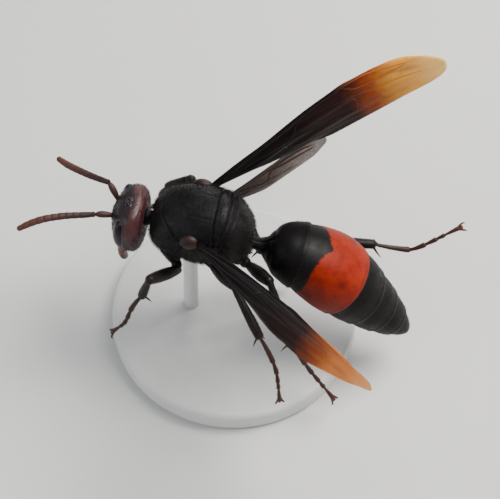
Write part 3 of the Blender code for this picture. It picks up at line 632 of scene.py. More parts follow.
def mandible_parts(side):
    """A stout curved jaw, hollowed on its inner face, with three pointed teeth."""
    keys = [head_point(forward, side * across, up) for forward, across, up in MANDIBLE_PATH]
    path = resampled(blend_keys(keys, 12), MANDIBLE_RINGS)
    radii = sampled(MANDIBLE_RADII, MANDIBLE_RINGS)

    def relief(share, angle):
        return np.sin(pi * share) * (0.04 * np.cos(angle * 3) - 0.05 * groove(angle - 1.2, 0.16))

    parts = [closed_tube(tube_grid(path, radii, MANDIBLE_SIDES, 0.8, relief))]
    inward = unit(-side * Y_AXIS + HEAD_FORWARD * 0.15 - HEAD_UP * 0.55)
    for share, size in TEETH:
        root = path[int(share * (MANDIBLE_RINGS - 1))]
        bulk = np.interp(share, np.linspace(0, 1, len(MANDIBLE_RADII)), MANDIBLE_RADII)
        tip = root + inward * (bulk + 0.14)
        parts.append(rod((root, tip), (size, 0.9 * size, 0.55 * size, 0.02), TOOTH_RINGS, TOOTH_SIDES))
    return parts


def antenna_grids(side_name, side):
    """Scape and jointed whip as grids, and the share of the whip's length at each ring."""
    course = np.array(ANTENNA_COURSES[side_name])
    root = head_point(SOCKET[0] - 0.28, side * SOCKET[1], SOCKET[2] - 0.12)
    share = np.linspace(0, 1, SCAPE_RINGS)[:, None]
    line = root + (course[0] - root) * share + 0.10 * np.sin(pi * share) * Z_AXIS
    scape = tube_grid(line, sampled(SCAPE_RADII, SCAPE_RINGS), ANTENNA_SIDES)
    joints = np.cumsum((0.0, *JOINT_LENGTHS)) / sum(JOINT_LENGTHS)
    rings = []
    for start, end in zip(joints, joints[1:]):
        for part, swell in JOINT_SWELL:
            share = start + (end - start) * part
            taper = 0.85 + 0.25 * sin(pi * min(share * 1.3, 1.0) * 0.6)
            if share < ROUNDING_START:
                rings.append((share, swell * taper * (1.0 - 1.15 * max(0.0, share - 0.8))))
    widest = rings[-1][1]
    for share in TIP_SHARES:
        past = (share - ROUNDING_START) / (1.0 - ROUNDING_START)
        rings.append((share, widest * sqrt(1.004 - past ** 2)))
    shares, radii = np.array(rings).T
    smooth = resampled(blend_keys(course, 20), WHIP_POINTS)
    places = shares * (WHIP_POINTS - 1)
    line = np.stack([np.interp(places, np.arange(WHIP_POINTS), column) for column in smooth.T], axis=1)
    return scape, tube_grid(line, FLAGELLUM_RADIUS * radii, ANTENNA_SIDES), shares


def mouthpart_parts():
    """Upper lip, tongue plate and the two pairs of jointed palps below the face."""
    parts = []
    for ends, radii, flatness in LIP_PLATES:
        path = [head_point(forward, 0.0, up) for forward, up in ends]
        parts.append(rod(path, radii, LIP_RINGS, LIP_SIDES, flatness))
    for side in (-1, 1):
        for spread, length, joints in PALPS:
            root = head_point(0.35, side * spread, -2.75)
            tip = head_point(0.75, side * (spread + 0.35), -2.75 - length)
            beads = 0.055 + 0.025 * np.abs(np.sin(np.linspace(0, pi * joints, joints * 5)))
            path = (root, (root + tip) / 2 + HEAD_FORWARD * 0.15, tip)
            parts.append(rod(path, beads, joints * 5, PALP_SIDES))
    return parts


# Legs: hip, end of the trochanter, knee, ankle, then the course of the foot
LEG_COURSES = {
    "front_l": ((-2.9, -1.0, -2.3), (-1.4, -2.2, -4.3), (-3.35, -5.0, -2.0), (-4.0, -5.0, -4.9),
                (-4.7, -5.5, -6.1), (-5.2, -6.1, -7.7), (-6.1, -6.5, -8.8)),
    "front_r": ((-2.9, 1.0, -2.3), (-1.5, 2.2, -4.3), (-2.1, 5.0, -2.0), (-4.1, 4.9, -4.0),
                (-4.6, 5.0, -5.3), (-4.8, 5.2, -7.2), (-5.5, 5.5, -8.6)),
    "mid_l": ((0.4, -1.0, -2.3), (1.0, -1.5, -4.0), (3.25, -3.7, -2.75), (6.05, -6.5, -5.4),
              (6.9, -7.15, -6.4), (7.7, -7.95, -7.9), (8.2, -9.0, -10.4)),
    "mid_r": ((0.4, 1.0, -2.3), (0.9, 2.0, -4.2), (2.7, 3.3, -3.4), (4.2, 2.7, -7.8),
              (4.8, 2.65, -9.2), (5.4, 2.7, -10.6), (6.4, 2.9, -12.1)),
    "hind_l": ((2.5, -1.0, -2.0), (3.9, -1.2, -3.3), (6.2, -3.5, -1.4), (8.5, -5.8, -7.0),
               (9.3, -5.9, -8.5), (10.1, -6.1, -10.0), (12.2, -7.0, -12.2)),
    "hind_r": ((2.5, 1.0, -2.0), (2.9, 1.3, -4.8), (7.4, 2.9, -5.2), (13.3, 4.4, -6.2),
               (15.0, 4.7, -6.75), (16.5, 5.0, -6.8), (19.8, 6.5, -4.8)),
}
# Radii of the coxa, trochanter, femur and tibia from root to tip, and of the foot
LEG_RADII = {
    "front": ((0.70, 0.74, 0.62, 0.44), (0.36, 0.44, 0.34), (0.28, 0.42, 0.50, 0.51, 0.46, 0.37),
              (0.24, 0.28, 0.34, 0.38, 0.34), 0.25),
    "mid": ((0.72, 0.76, 0.64, 0.46), (0.36, 0.46, 0.34), (0.28, 0.42, 0.51, 0.53, 0.46, 0.37),
            (0.24, 0.30, 0.37, 0.41, 0.36), 0.25),
    "hind": ((0.74, 0.78, 0.66, 0.48), (0.38, 0.48, 0.36), (0.30, 0.44, 0.53, 0.55, 0.48, 0.39),
             (0.26, 0.32, 0.39, 0.44, 0.38), 0.26),
}
# Sides and rings of the coxa, trochanter, femur and tibia
SEGMENT_DETAIL = ((34, 44), (28, 30), (34, 60), (32, 60))
FOOT_POINTS = 300
# Shares of the foot at which its joints end, and the radii along a joint, for a radius of 1
TARSUS_ENDS = (0.0, 0.40, 0.58, 0.72, 0.82, 1.0)
TARSUS_SHAPE = (0.55, 0.72, 0.88, 1.02)
TARSUS_TIP_SHAPE = (0.5, 0.7, 0.95, 1.05)
SPUR_LENGTHS = {"front": (0.75,), "mid": (0.85, 0.70), "hind": (1.05, 0.80)}
COXA_SHARE = 0.72
SPUR_SPREAD = radians(38)
SPUR_LEAN = radians(50)
SPUR_RADII = (0.11, 0.10, 0.07, 0.02)
CLAW_RADII = (0.11, 0.10, 0.075, 0.015)
HOOK_SIDES = 12
# A claw: ahead of the tip of the foot, to the side and below it
CLAW_COURSE = ((-0.20, 0.05, 0.0), (0.12, 0.20, 0.0), (0.38, 0.34, 0.08), (0.50, 0.36, 0.34))


def limb_grid(start, end, radii, sides, rings, flatness=1.0, bow=(0.0, 0.0, 0.0)):
    """A limb segment with rounded ends."""
    share = 0.5 - 0.5 * np.cos(np.linspace(0, pi, rings))
    length = np.linalg.norm(end - start)
    sizes = np.interp(share, np.linspace(0, 1, len(radii)), radii)
    for edge in (share * length / (radii[0] * 0.8), (1 - share) * length / (radii[-1] * 0.8)):
        sizes = sizes * np.sqrt(1 - (1 - np.clip(edge, 0.02, 1.0)) ** 2)
    path = start + (end - start) * share[:, None] + bow * np.sin(pi * share)[:, None]
    return tube_grid(path, sizes, sides, flatness)


def leg_grids(leg_name):
    """The black segments of a leg and its foot of five joints, as grids, with the shin's and foot's ways."""
    *segments, foot = LEG_RADII[leg_name.split("_")[0]]
    points = np.array(LEG_COURSES[leg_name])
    hip, joint, knee, ankle = points[:4]
    neck = hip + (joint - hip) * COXA_SHARE
    down, thigh, shin = unit(joint - hip), unit(knee - joint), unit(ankle - knee)
    ends = ((hip, neck + down * 0.10), (neck - down * 0.22, joint + thigh * 0.34),
            (joint + thigh * 0.05, knee + thigh * 0.22), (knee - shin * 0.16, ankle + shin * 0.12))
    black = [limb_grid(*pair, radii, *detail) for pair, radii, detail in zip(ends, segments, SEGMENT_DETAIL)]
    course = blend_keys(np.vstack((ankle - shin * 0.2, points[3:])), 12)[12:]
    course = resampled(course, FOOT_POINTS)
    feet = []
    for number in range(5):
        first, last = [int(share * (FOOT_POINTS - 1)) for share in TARSUS_ENDS[number:number + 2]]
        begin = course[max(0, first - 3)] - (shin * 0.10 if number == 0 else 0)
        tip = course[last]
        shape = foot * (0.92 - 0.06 * number) * np.array(TARSUS_SHAPE if number < 4 else TARSUS_TIP_SHAPE)
        feet.append(limb_grid(begin, tip + unit(tip - begin) * 0.03, shape, 22, 24,
                              bow=course[(first + last) // 2] - (course[first] + tip) / 2))
    return black, feet, shin, unit(course[-1] - course[-12])


def spur_courses(leg_name, shin):
    """One or two spurs that stand out below the ankle."""
    ankle = np.array(LEG_COURSES[leg_name][3])
    lengths = SPUR_LENGTHS[leg_name.split("_")[0]]
    below = unit(-Z_AXIS + shin * shin[2])
    courses = []
    for number, length in enumerate(lengths):
        turn = SPUR_SPREAD * (2 * number - len(lengths) + 1)
        out = below * cos(turn) + np.cross(shin, below) * sin(turn)
        middle = ankle - shin * 0.06 + out * 0.34
        end = middle + (shin * cos(SPUR_LEAN) + out * sin(SPUR_LEAN)) * length
        courses.append((ankle - shin * 0.35 + out * 0.14, middle, (middle + end) / 2 + out * 0.04, end))
    return courses


def leg_fittings(leg_name, shin, foot_along):
    """Spurs at the ankle, and the claws and pad at the tip of the foot."""
    tip = np.array(LEG_COURSES[leg_name][6])
    side = unit(np.cross(foot_along, Z_AXIS))
    under = np.cross(foot_along, side)
    under = -under if under[2] > 0 else under
    hooks = [(course, SPUR_RADII) for course in spur_courses(leg_name, shin)]
    for sign in (-1, 1):
        course = [tip + foot_along * ahead + side * sign * apart + under * down
                  for ahead, apart, down in CLAW_COURSE]
        hooks.append((course, CLAW_RADII))
    parts = []
    for course, radii in hooks:
        path = blend_keys(course, 6)
        parts.append(closed_tube(tube_grid(path, sampled(radii, len(path)), HOOK_SIDES)))
    pad = limb_grid(tip, tip + foot_along * 0.34 + under * 0.06, (0.10, 0.17, 0.15), 16, 14, 0.7)
    return parts + [closed_tube(pad)]


# Wings: the outline of each in its own plane, along the wing and up towards its front edge
WING_ROOT = np.array((0.15, 2.75, 1.10))
WING_CAMBER = 0.35
MEMBRANE_HALF = 0.045
MEMBRANE_GRID = 0.24
BORDER_POINTS = 229
OUTLINE_STEPS = 12
VEIN_SIDES = 10
VEIN_STEPS = 10
# Moves a wing's colours along it: by a share of its length, and by another for each mm up its plane
TINT_SHIFT = {"l": -0.063, "r": -0.02}
TINT_SLOPE = {"l": -0.032, "r": 0.0}
FOREWING_OUTLINE = (
    (-0.6, 0.30), (2.5, 0.75), (6.0, 1.00), (10.0, 1.40), (13.0, 1.55), (16.0, 1.40),
    (18.5, 0.90), (20.3, -0.45), (21.0, -1.60), (20.4, -3.00), (18.3, -3.75), (15.5, -4.25),
    (12.6, -4.55), (11.0, -4.45), (10.0, -4.20), (8.0, -3.45), (5.0, -2.30), (2.5, -1.30),
    (-0.6, -0.40),
)
# Each vein: its radius at the root and at its tip in mm, then its course
FOREWING_VEINS = (
    (0.21, 0.10, ((-0.5, 0.05), (3.0, 0.45), (6.0, 0.68), (9.5, 1.08), (12.8, 1.36))),
    (0.15, 0.05, ((12.6, 1.38), (14.2, 1.36), (16.0, 1.02), (18.6, 0.25))),
    (0.10, 0.05, ((-0.3, 0.28), (3.0, 0.72), (6.0, 0.95), (10.0, 1.34), (12.8, 1.58))),
    (0.09, 0.06, ((12.8, 1.30), (13.8, 0.45), (15.5, 0.20), (17.2, 0.10), (18.6, 0.25))),
    (0.10, 0.05, ((7.0, -0.80), (7.9, -0.05), (8.5, 0.45), (10.5, 0.30), (13.2, -0.20), (15.4, -0.80),
                  (17.6, -1.15), (19.5, -1.5))),
    (0.07, 0.06, ((8.5, 0.45), (9.3, 0.75), (10.2, 1.05))),
    (0.14, 0.06, ((0.5, -0.10), (4.0, -0.50), (7.0, -0.80), (9.5, -1.45), (12.0, -2.10), (14.9, -2.90),
                  (16.6, -3.20))),
    (0.08, 0.07, ((13.2, -0.20), (13.4, -1.30), (13.0, -2.35))),
    (0.13, 0.05, ((0.5, -0.30), (3.5, -1.25), (6.7, -1.85), (9.5, -2.85), (11.6, -3.90))),
    (0.06, 0.05, ((12.3, 0.15), (13.0, 0.35), (13.7, 0.42))),
    (0.06, 0.05, ((14.6, 0.25), (15.0, -0.2), (15.2, -0.75))),
    (0.05, 0.04, ((17.0, 0.12), (17.6, -0.5), (17.3, -1.05))),
    (0.07, 0.05, ((15.0, -0.72), (15.3, -1.9), (14.9, -2.9))),
    (0.08, 0.07, ((6.4, -0.72), (6.6, -1.1), (6.7, -1.85))),
)
# The dark spot on the front edge, a thick short vein
STIGMA = (0.20, 0.12, ((11.7, 1.30), (13.2, 1.43), (14.9, 1.20)))
HINDWING_OUTLINE = (
    (-0.8, 0.15), (3.0, 0.25), (6.0, 0.30), (8.2, 0.20), (10.2, -0.15), (11.0, -0.85),
    (10.7, -1.60), (9.6, -2.40), (7.8, -2.95), (5.6, -3.00), (3.4, -2.50), (1.5, -1.55),
    (-0.8, -0.60),
)
HINDWING_VEINS = (
    (0.13, 0.07, ((-0.6, -0.08), (3.0, -0.02), (6.0, 0.02), (8.0, -0.05), (9.4, -0.35))),
    (0.10, 0.06, ((3.8, 0.0), (6.0, -0.35), (8.0, -0.50), (9.6, -0.75))),
    (0.11, 0.06, ((0.0, -0.25), (2.5, -0.85), (4.5, -1.25), (8.0, -1.85))),
    (0.08, 0.07, ((4.2, -1.15), (4.4, -0.55), (4.7, -0.08))),
    (0.10, 0.06, ((-0.6, -0.40), (2.0, -1.2), (4.4, -1.8), (5.8, -2.4))),
)
# Each kind of wing: length, outline and veins
WINGS = {
    "forewing": (21.0, FOREWING_OUTLINE, (*FOREWING_VEINS, STIGMA)),
    "hindwing": (11.0, HINDWING_OUTLINE, HINDWING_VEINS),
}
# The way each forewing points
WING_ALONG = {"l": (0.735, 0.618, 0.315), "r": (0.690, 0.680, 0.300)}
# The hind wing's root, and how far it slopes below the forewing, swings out of its plane and rolls over
HINDWING_PLACE = {
    "l": ((1.90, 2.80, 0.50), radians(-18.4), radians(1.0), radians(4.7)),
    "r": ((1.54, 2.95, -0.10), radians(-28.7), radians(-10.5), radians(6.4)),
}
# Half of the shell plate's length, width and height
TEGULA_SIZE = (0.80, 0.50, 0.58)
TEGULA_CENTRE = np.array((-0.55, 2.72, 1.20))
TEGULA_LEAN = 0.12
TEGULA_RINGS = 30
TEGULA_SIDES = 36
# The forewing's pitch near its root, twist, bow halfway along and bend at its tip
FOREWING_SHAPE = {"l": (radians(7), radians(-21), 0.3, 0.0), "r": (0.0, radians(-14), -0.1, 1.8)}


def wing_axes(kind, side_name):
    """A wing's root, the ways it runs, rises and faces, and its pitch, twist, bow and bend."""
    along = unit(WING_ALONG[side_name])
    up = unit(Z_AXIS - along * along[2])
    face = np.cross(along, up)
    if kind == "forewing":
        return WING_ROOT, along, up, face, FOREWING_SHAPE[side_name]
    root, slope, swing, roll = HINDWING_PLACE[side_name]
    run = (along * cos(slope) + up * sin(slope)) * cos(swing) + face * sin(swing)
    rise = np.array(Matrix.Rotation(roll, 3, Vector(run))) @ unit(up - run * run.dot(up))
    return root, run, rise, np.cross(run, rise), (0.0, 0.0, 0.0, 0.0)


def wing_surface(kind, side_name, spots):
    """Points of a wing's own surface for places (n by 2) in its plane, and the way it faces."""
    root, run, rise, out, (pitch, twist, bow, bend) = wing_axes(kind, side_name)
    length, outline, _ = WINGS[kind]
    x, y = spots.T
    heights = blend_keys(outline, 2)[:, 1]
    highest = heights.max()
    belly = (y - heights.min()) / (highest - heights.min())
    ahead = np.maximum(0.0, x)
    reach = ahead / length
    folds = 0.05 * np.sin(y * 3.1 - x * 0.35) + 0.03 * np.sin(y * 6.3 + x * 0.22 + 1.0)
    bulge = WING_CAMBER * 4 * belly * (1 - belly) * np.minimum(1.0, ahead / 5)
    bulge = bulge + bow * 4 * reach * (1 - reach) + bend * reach ** 3
    bulge = bulge + folds * smoothstep(0.02, 0.25, reach) * (1 - 0.4 * reach)
    angle = (pitch * np.minimum(1.0, ahead / 3) + twist * reach ** 2)[:, None]
    lift = rise * np.cos(angle) + out * np.sin(angle)
    front = out * np.cos(angle) - rise * np.sin(angle)
    middle = root + run * x[:, None] + rise * highest + lift * (y - highest)[:, None] + front * bulge[:, None]
    mirror = (1, -1 if side_name == "l" else 1, 1)
    return middle * mirror, front * mirror


def edge_gap(spots, border):
    return np.min(np.linalg.norm(spots[:, None] - border[None], axis=2), axis=1)


def membrane_sheet(kind, side_name):
    """A thin closed sheet, and the places of its points in the wing's plane."""
    outline = WINGS[kind][1]
    border = resampled(np.vstack((blend_keys(outline, OUTLINE_STEPS), outline[:1])), BORDER_POINTS + 1)[:-1]
    columns, rows = [np.arange(line.min(), line.max(), MEMBRANE_GRID) for line in border.T]
    inside = np.array([(x, y + 0.5 * (i % 2) * MEMBRANE_GRID) for i, x in enumerate(columns) for y in rows])
    inside = inside[edge_gap(inside, border) > MEMBRANE_GRID * 0.55]
    flat = [Vector(row) for row in np.vstack((border, inside)).tolist()]
    loop = list(range(BORDER_POINTS))
    flat, _, faces, *_ = delaunay_2d_cdt(flat, list(zip(loop, loop[1:] + [0])), [loop], 1, 1e-4)
    used, faces = np.unique(faces, return_inverse=True)
    faces = faces.reshape(-1, 3)
    spots = np.array([tuple(spot) for spot in flat])[used]
    middle, front = wing_surface(kind, side_name, spots)
    half = MEMBRANE_HALF * (0.45 + 0.55 * smoothstep(0.0, 0.3, edge_gap(spots, border)))[:, None]
    number = len(spots)
    edges = {tuple(face[[i, i - 2]].tolist()) for face in faces for i in range(3)}
    walls = [(far, near, near + number, far + number) for near, far in edges if (far, near) not in edges]
    faces = faces.tolist() + (faces[:, ::-1] + number).tolist() + walls
    return (np.concatenate((middle + front * half, middle - front * half)), faces), np.tile(spots, (2, 1))


def vein_tube(kind, side_name, thick, thin, course):
    """A vein that comes to a point at both ends, and the places of its points."""
    line = resampled(blend_keys(course, VEIN_STEPS), max(14, 6 * len(course)))
    point = np.minimum(1.0, (np.arange(len(line)) + 1) / 3)
    radii = np.linspace(thick, thin, len(line)) * point * point[::-1]
    if course is STIGMA[2]:
        radii = radii * np.sin(np.linspace(0.3, pi - 0.3, len(line))) ** 0.5
    tube = closed_tube(tube_grid(wing_surface(kind, side_name, line)[0], radii, VEIN_SIDES))
    return tube, ring_values(line, VEIN_SIDES)


def make_wing(kind, side_name, looks):
    """A membrane with round veins that taper along it."""
    length, _, veins = WINGS[kind]
    sheet, spots = membrane_sheet(kind, side_name)
    parts, places = [sheet], [spots]
    for vein in veins:
        tube, spots = vein_tube(kind, side_name, *vein)
        parts.append(tube)
        places.append(spots)
    shape = gathered(parts)
    look_numbers = [0] * len(sheet[1]) + [1] * (len(shape[1]) - len(sheet[1]))
    far, low = np.concatenate(places).T
    far = far / length
    # two rust streaks in the clear tip
    streak = 0.75 * groove(far - 0.845, 0.055) * groove(low + 0.15 + (far - 0.84) * 9, 0.34)
    streak += 0.35 * groove(far - 0.80, 0.05) * groove(low + 2.9, 0.5)
    layers = {"along": far + TINT_SHIFT[side_name] + TINT_SLOPE[side_name] * low, "streak": streak}
    piece = add_piece(f"{kind}_skin_{side_name}", shape, looks, [f"{kind}_{side_name}"], layers,
                      look_numbers=look_numbers)
    bm = bmesh.new()
    bm.from_mesh(piece.data)
    bmesh.ops.recalc_face_normals(bm, faces=bm.faces)
    bm.to_mesh(piece.data)
    bm.free()


# Hair: each coat is one mesh of fine bent cones. A hair has three corners at its root, three
# halfway and its tip, and PATCH is half the size of its own patch of the unwrap
HAIR_WALLS = np.array(((0, 1, 4, 3), (1, 2, 5, 4), (2, 0, 3, 5)))
HAIR_CAPS = np.array(((3, 4, 6), (4, 5, 6), (5, 3, 6), (2, 1, 0)))
PATCH = 0.0015
# How much hairs differ in their aim, bend, length and radius
HAIR_SCATTER = 0.22
HAIR_CURL = 0.12
HAIR_LENGTHS = (0.55, 1.15)
HAIR_RADII = (0.75, 1.2)
# Each coat: how many hairs, their length and radius, and how far they lean to the rear
COATS = {
    "thorax": (16000, 0.38, 0.009, 0.45),
    "head": (9000, 0.24, 0.0065, 0.42),
    "gaster": (9000, 0.20, 0.008, 0.76),
    "band": (2600, 0.20, 0.008, 0.76),
    "leg": (3200, 0.20, 0.008, 0.62),
}


def hair_roots(skins, count, rng):
    """Each hair's root, its ways out and to the rear, its size and its place in the unwrap."""
    areas = []
    for grid, weight, _ in skins:
        across, ahead = np.roll(grid, -1, 1) - grid, grid[1:] - grid[:-1]
        areas.append(np.linalg.norm(across, axis=-1)[:-1] * np.linalg.norm(ahead, axis=-1) * weight[:-1])
    whole = sum(area.sum() for area in areas)
    rows = []
    for (grid, weight, (low_u, low_v, cell)), area in zip(skins, areas):
        number = int(round(count * area.sum() / whole))
        if number == 0:
            continue
        rings, corners = area.shape
        i, j = np.divmod(rng.choice(area.size, size=number, p=(area / area.sum()).ravel()), corners)
        s, t = rng.random((2, number))
        low, high = [grid[i, k] + s[:, None] * (grid[i + 1, k] - grid[i, k]) for k in (j, (j + 1) % corners)]
        root, back = low + t[:, None] * (high - low), unit(grid[i + 1, j] - grid[i, j])
        patch = np.stack((low_u + (j + t) / corners * cell, low_v + (i + s) / rings * cell), axis=1)
        rows.append((root, grid_normals(grid)[i, j], back, np.clip(weight[i, j], 0.35, 1.0), patch))
    return [np.concatenate(column) for column in zip(*rows)]


def hair_coat(name, skins, coat, look, seed):
    """Hairs spread over skins, given as (grid, weight, cell of the unwrap)."""
    count, length, radius, lean = COATS[coat]
    rng = np.random.default_rng(seed)
    root, out, back, size, patch = hair_roots(skins, count, rng)
    number = len(root)
    aim = unit(out * (1 - lean) + back * lean + rng.normal(0, HAIR_SCATTER, (number, 3)))
    reach = (length * size * rng.uniform(*HAIR_LENGTHS, number))[:, None]
    thick = (radius * rng.uniform(*HAIR_RADII, number))[:, None]
    bend = unit(aim + back * (0.25 + lean * 0.6) + rng.normal(0, HAIR_CURL, (number, 3)))
    first = unit(np.cross(aim, np.where(np.abs(aim[:, 2:]) < 0.9, Z_AXIS, X_AXIS)))
    second = np.cross(aim, first)
    start, middle = root - out * radius, root + aim * reach * 0.55
    points, places = [], []
    for base, scale, patch_scale in ((start, 1.0, 1.0), (middle, 0.62, 0.6)):
        for turn in tau * np.arange(3) / 3:
            points.append(base + (first * cos(turn) + second * sin(turn)) * thick * scale)
            places.append(patch + np.array((cos(turn), sin(turn))) * PATCH * patch_scale)
    points = np.stack(points + [middle + bend * reach * 0.45], axis=1).reshape(-1, 3)
    places = np.stack(places + [patch], axis=1).reshape(-1, 2)
    offsets = 7 * np.arange(number)[:, None, None]
    faces = (HAIR_WALLS + offsets).reshape(-1, 4).tolist() + (HAIR_CAPS + offsets).reshape(-1, 3).tolist()
    add_piece(name, (points, faces), [look], [], patches=np.clip(places, 0.0, 1.0))


def cells_of(count):
    """Square cells of the unwrap, one for each skin, beside each other."""
    columns = int(np.ceil(np.sqrt(count)))
    return [((n % columns + 0.01) / columns, (n // columns + 0.01) / columns, 0.98 / columns)
            for n in range(count)]


# Materials
def hair_material(name, dark, light):
    make = Shader(name)
    return make.finish(make.mix(make.ramp(make.noise(3.0), 0.35, 0.65), dark, light), 0.55, 0.2)


def head_material():
    """Maroon behind the eyes, dark purple-brown on the face, with fine pits."""
    make = Shader("head_shell")
    clouds = make.noise(0.9, 4.0)
    edge = make.math("ADD", make.attribute("maroon"), make.signed(clouds, 0.5))
    back = make.mix(clouds, (0.040, 0.007, 0.010), (0.080, 0.015, 0.018))
    face = make.mix(clouds, (0.008, 0.005, 0.008), (0.020, 0.011, 0.017))
    make.pits(10, 0.35, 0.5, 0.010, 26, 0.3)
    return make.finish(make.mix(make.ramp(edge, -0.12, 0.12), face, back),
                       make.ramp(clouds, 0.3, 0.7, 0.38, 0.52))


def eye_material():
    """Dark glossy facets."""
    make = Shader("eye_facets_fine")
    facets = make.cells(19)
    colour = make.mix(make.ramp(make.noise(0.8), 0.3, 0.7), (0.008, 0.003, 0.005), (0.024, 0.008, 0.011))
    make.bump((make.ramp(facets, 0.0, 0.6, 1.0, 0.0), 0.3, 0.006))
    return make.finish(colour, make.ramp(facets, 0.0, 0.6, 0.22, 0.32), 0.22)


def band_material():
    """The second ring: orange with a black front margin, dark marks, painted shade down its left flank and a
    dark rear rim.
    """
    make = Shader("orange_band")
    clouds = make.noise(1.1, 4.0)
    ragged = make.signed(make.noise(4.5), 0.35)
    orange = make.mix(make.ramp(clouds, 0.3, 0.7), (0.20, 0.010, 0.003), (0.30, 0.020, 0.004))
    # darkened by the real dark marks and by the painted shade on the left flank
    orange = make.mix(make.attribute("marks_and_painted_shade"), orange, (0.11, 0.006, 0.003))
    rim = make.ramp(make.math("ADD", make.attribute("rim"), ragged), 0.0, 0.5)
    orange = make.mix(make.math("MULTIPLY", rim, 0.55), orange, (0.10, 0.018, 0.010))
    black = make.mix(clouds, (0.003, 0.003, 0.003), (0.006, 0.005, 0.006))
    lit = make.ramp(make.math("ADD", make.attribute("orange"), ragged), -0.09, 0.09)
    make.pits(10, 0.35, 0.45, 0.008, 26, 0.3)
    return make.finish(make.mix(lit, black, orange), make.ramp(clouds, 0.3, 0.7, 0.42, 0.55), 0.16)


def jaw_material():
    """Red-brown at the root and black towards the tip."""
    make = Shader("jaw_shell")
    base = make.mix(make.noise(1.5), (0.080, 0.020, 0.012), (0.140, 0.038, 0.021))
    tip = make.ramp(make.attribute("along"), 0.40, 0.62)
    make.bump((make.noise(16), 0.4, 0.008))
    return make.finish(make.mix(tip, base, (0.012, 0.008, 0.008)), 0.36)


def graded_material(name, root, tip, roughness):
    """A colour that changes along the piece, with fine short grain."""
    make = Shader(name)
    place = make.math("ADD", make.attribute("along"), make.signed(make.noise(2.4, 4.0), 0.5))
    make.bump((make.noise(34), 0.5, 0.006))
    return make.finish(make.mix(make.ramp(place, 0.0, 1.0), root, tip), roughness, 0.3)


def membrane_parts(name):
    """A wing's shader, and the share of its length, made uneven."""
    make = Shader(name)
    return make, make.math("ADD", make.attribute("along"), make.signed(make.noise(0.45, 4.0), 0.16))


def forewing_material(name, amber, tip):
    """Smoky membrane: dark at the root, rust further out and clear amber at the tip."""
    make, place = membrane_parts(name)
    colour = make.mix(make.ramp(place, 0.30, 0.62), (0.005, 0.003, 0.003), (0.022, 0.006, 0.006))
    for low, high, tint in ((0.58, 0.70, (0.25, 0.045, 0.009)), (0.68, 0.84, amber), (0.84, 1.0, tip)):
        colour = make.mix(make.ramp(place, low, high), colour, tint)
    streak = make.math("MULTIPLY", make.attribute("streak"), make.ramp(make.noise(1.2), 0.2, 0.6))
    make.bump((make.noise(5.0, 4.0), 0.45, 0.05), (make.cells(14.0), 0.15, 0.006))
    return make.finish(make.mix(streak, colour, (0.16, 0.036, 0.012)), 0.48, 0.04,
                       make.ramp(place, 0.60, 0.95, 1.0, 0.74))


def hindwing_material():
    """Smoky membrane, paler and clearer towards the tip."""
    make, place = membrane_parts("hindwing_membrane")
    smoke = make.math("MULTIPLY", make.ramp(make.noise(1.6, 4.0), 0.35, 0.65), 0.55)
    colour = make.mix(make.ramp(place, 0.1, 0.75), (0.026, 0.013, 0.011), (0.115, 0.068, 0.052))
    make.bump((make.noise(5.0, 4.0), 0.45, 0.05))
    return make.finish(make.mix(smoke, colour, (0.040, 0.022, 0.018)), 0.48, 0.04,
                       make.ramp(place, 0.2, 0.9, 0.90, 0.68))


def vein_material(name, root, tip):
    make = Shader(name)
    make.bump((make.noise(20, 2.0), 0.4, 0.01))
    return make.finish(make.mix(make.ramp(make.attribute("along"), 0.55, 0.80), root, tip), 0.50, 0.12)


def stand_material():
    """Pale cast resin with a faint fleck."""
    make = Shader("stand_resin")
    clouds = make.noise(0.35, 4.0)
    fleck = make.math("MULTIPLY", make.ramp(make.noise(6.0, 2.0), 0.55, 0.75), 0.2)
    colour = make.mix(clouds, (0.62, 0.62, 0.60), (0.74, 0.74, 0.72))
    make.bump((make.noise(12), 0.25, 0.01))
    return make.finish(make.mix(fleck, colour, (0.42, 0.42, 0.41)), make.ramp(clouds, 0.3, 0.7, 0.42, 0.58))


def floor_material():
    """Pale matt paper."""
    make = Shader("floor_paper")
    make.bump((make.noise(2.0), 0.1, 0.02))
    return make.finish(make.mix(make.noise(0.02), (0.66, 0.66, 0.64), (0.72, 0.72, 0.70)), 0.8)


# The animal, put together
def build_trunk(shell, maroon_head, eye):
    thorax = thorax_surface()
    add_piece("thorax_skin", closed_tube(thorax), [shell], ("prothorax", "mesothorax", "metathorax"))
    head = head_surface()
    skin = closed_tube(head)
    forward, across, up = head_place(skin[0])
    from_crown = np.hypot(across * 0.6, np.maximum(0, 2.2 - up))
    maroon = np.interp(from_crown, MAROON_DISTANCES, MAROON_EDGES) - forward
    add_piece("head_skin", skin, [maroon_head], ["head"], {"maroon": maroon})
    for side_name, side in SIDES:
        ball = closed_tube(eye_grid(side))
        add_piece(f"eye_ball_{side_name}", ball, [eye], [f"eye_{side_name}"])
    return thorax, head


def build_gaster(shell, band):
    skins, black_parts = [], []
    for number in range(LAST_RING + 1):
        grid, share, turn = gaster_ring(number)
        if number != BAND_RING:
            skins.append((grid, -np.ones_like(turn)))
            black_parts.append(closed_tube(grid))
            continue
        layers = band_layers(share, turn)
        skins.append((grid, layers["orange"]))
        layers = {name: np.concatenate((values.ravel(), [values[0].mean()], [values[-1].mean()]))
                  for name, values in layers.items()}
        add_piece("gaster_band", closed_tube(grid), [band], ["gaster_2"], layers)
    nodes = [f"gaster_{number}" for number in (1, 3, 4, 5, 6)]
    add_piece("gaster_skin", gathered(black_parts), [shell], nodes)
    return skins


def ocelli_parts():
    """The three simple eyes on the crown."""
    parts = []
    for forward, spread, up in OCELLI:
        # the front one stands alone in the middle
        for across in ((spread, -spread) if spread else (0.0,)):
            ends = head_point(forward, across, up - 0.16), head_point(forward, across, up + 0.10)
            parts.append(closed_tube(limb_grid(*ends, OCELLUS_RADII, 20, 16)))
    return parts


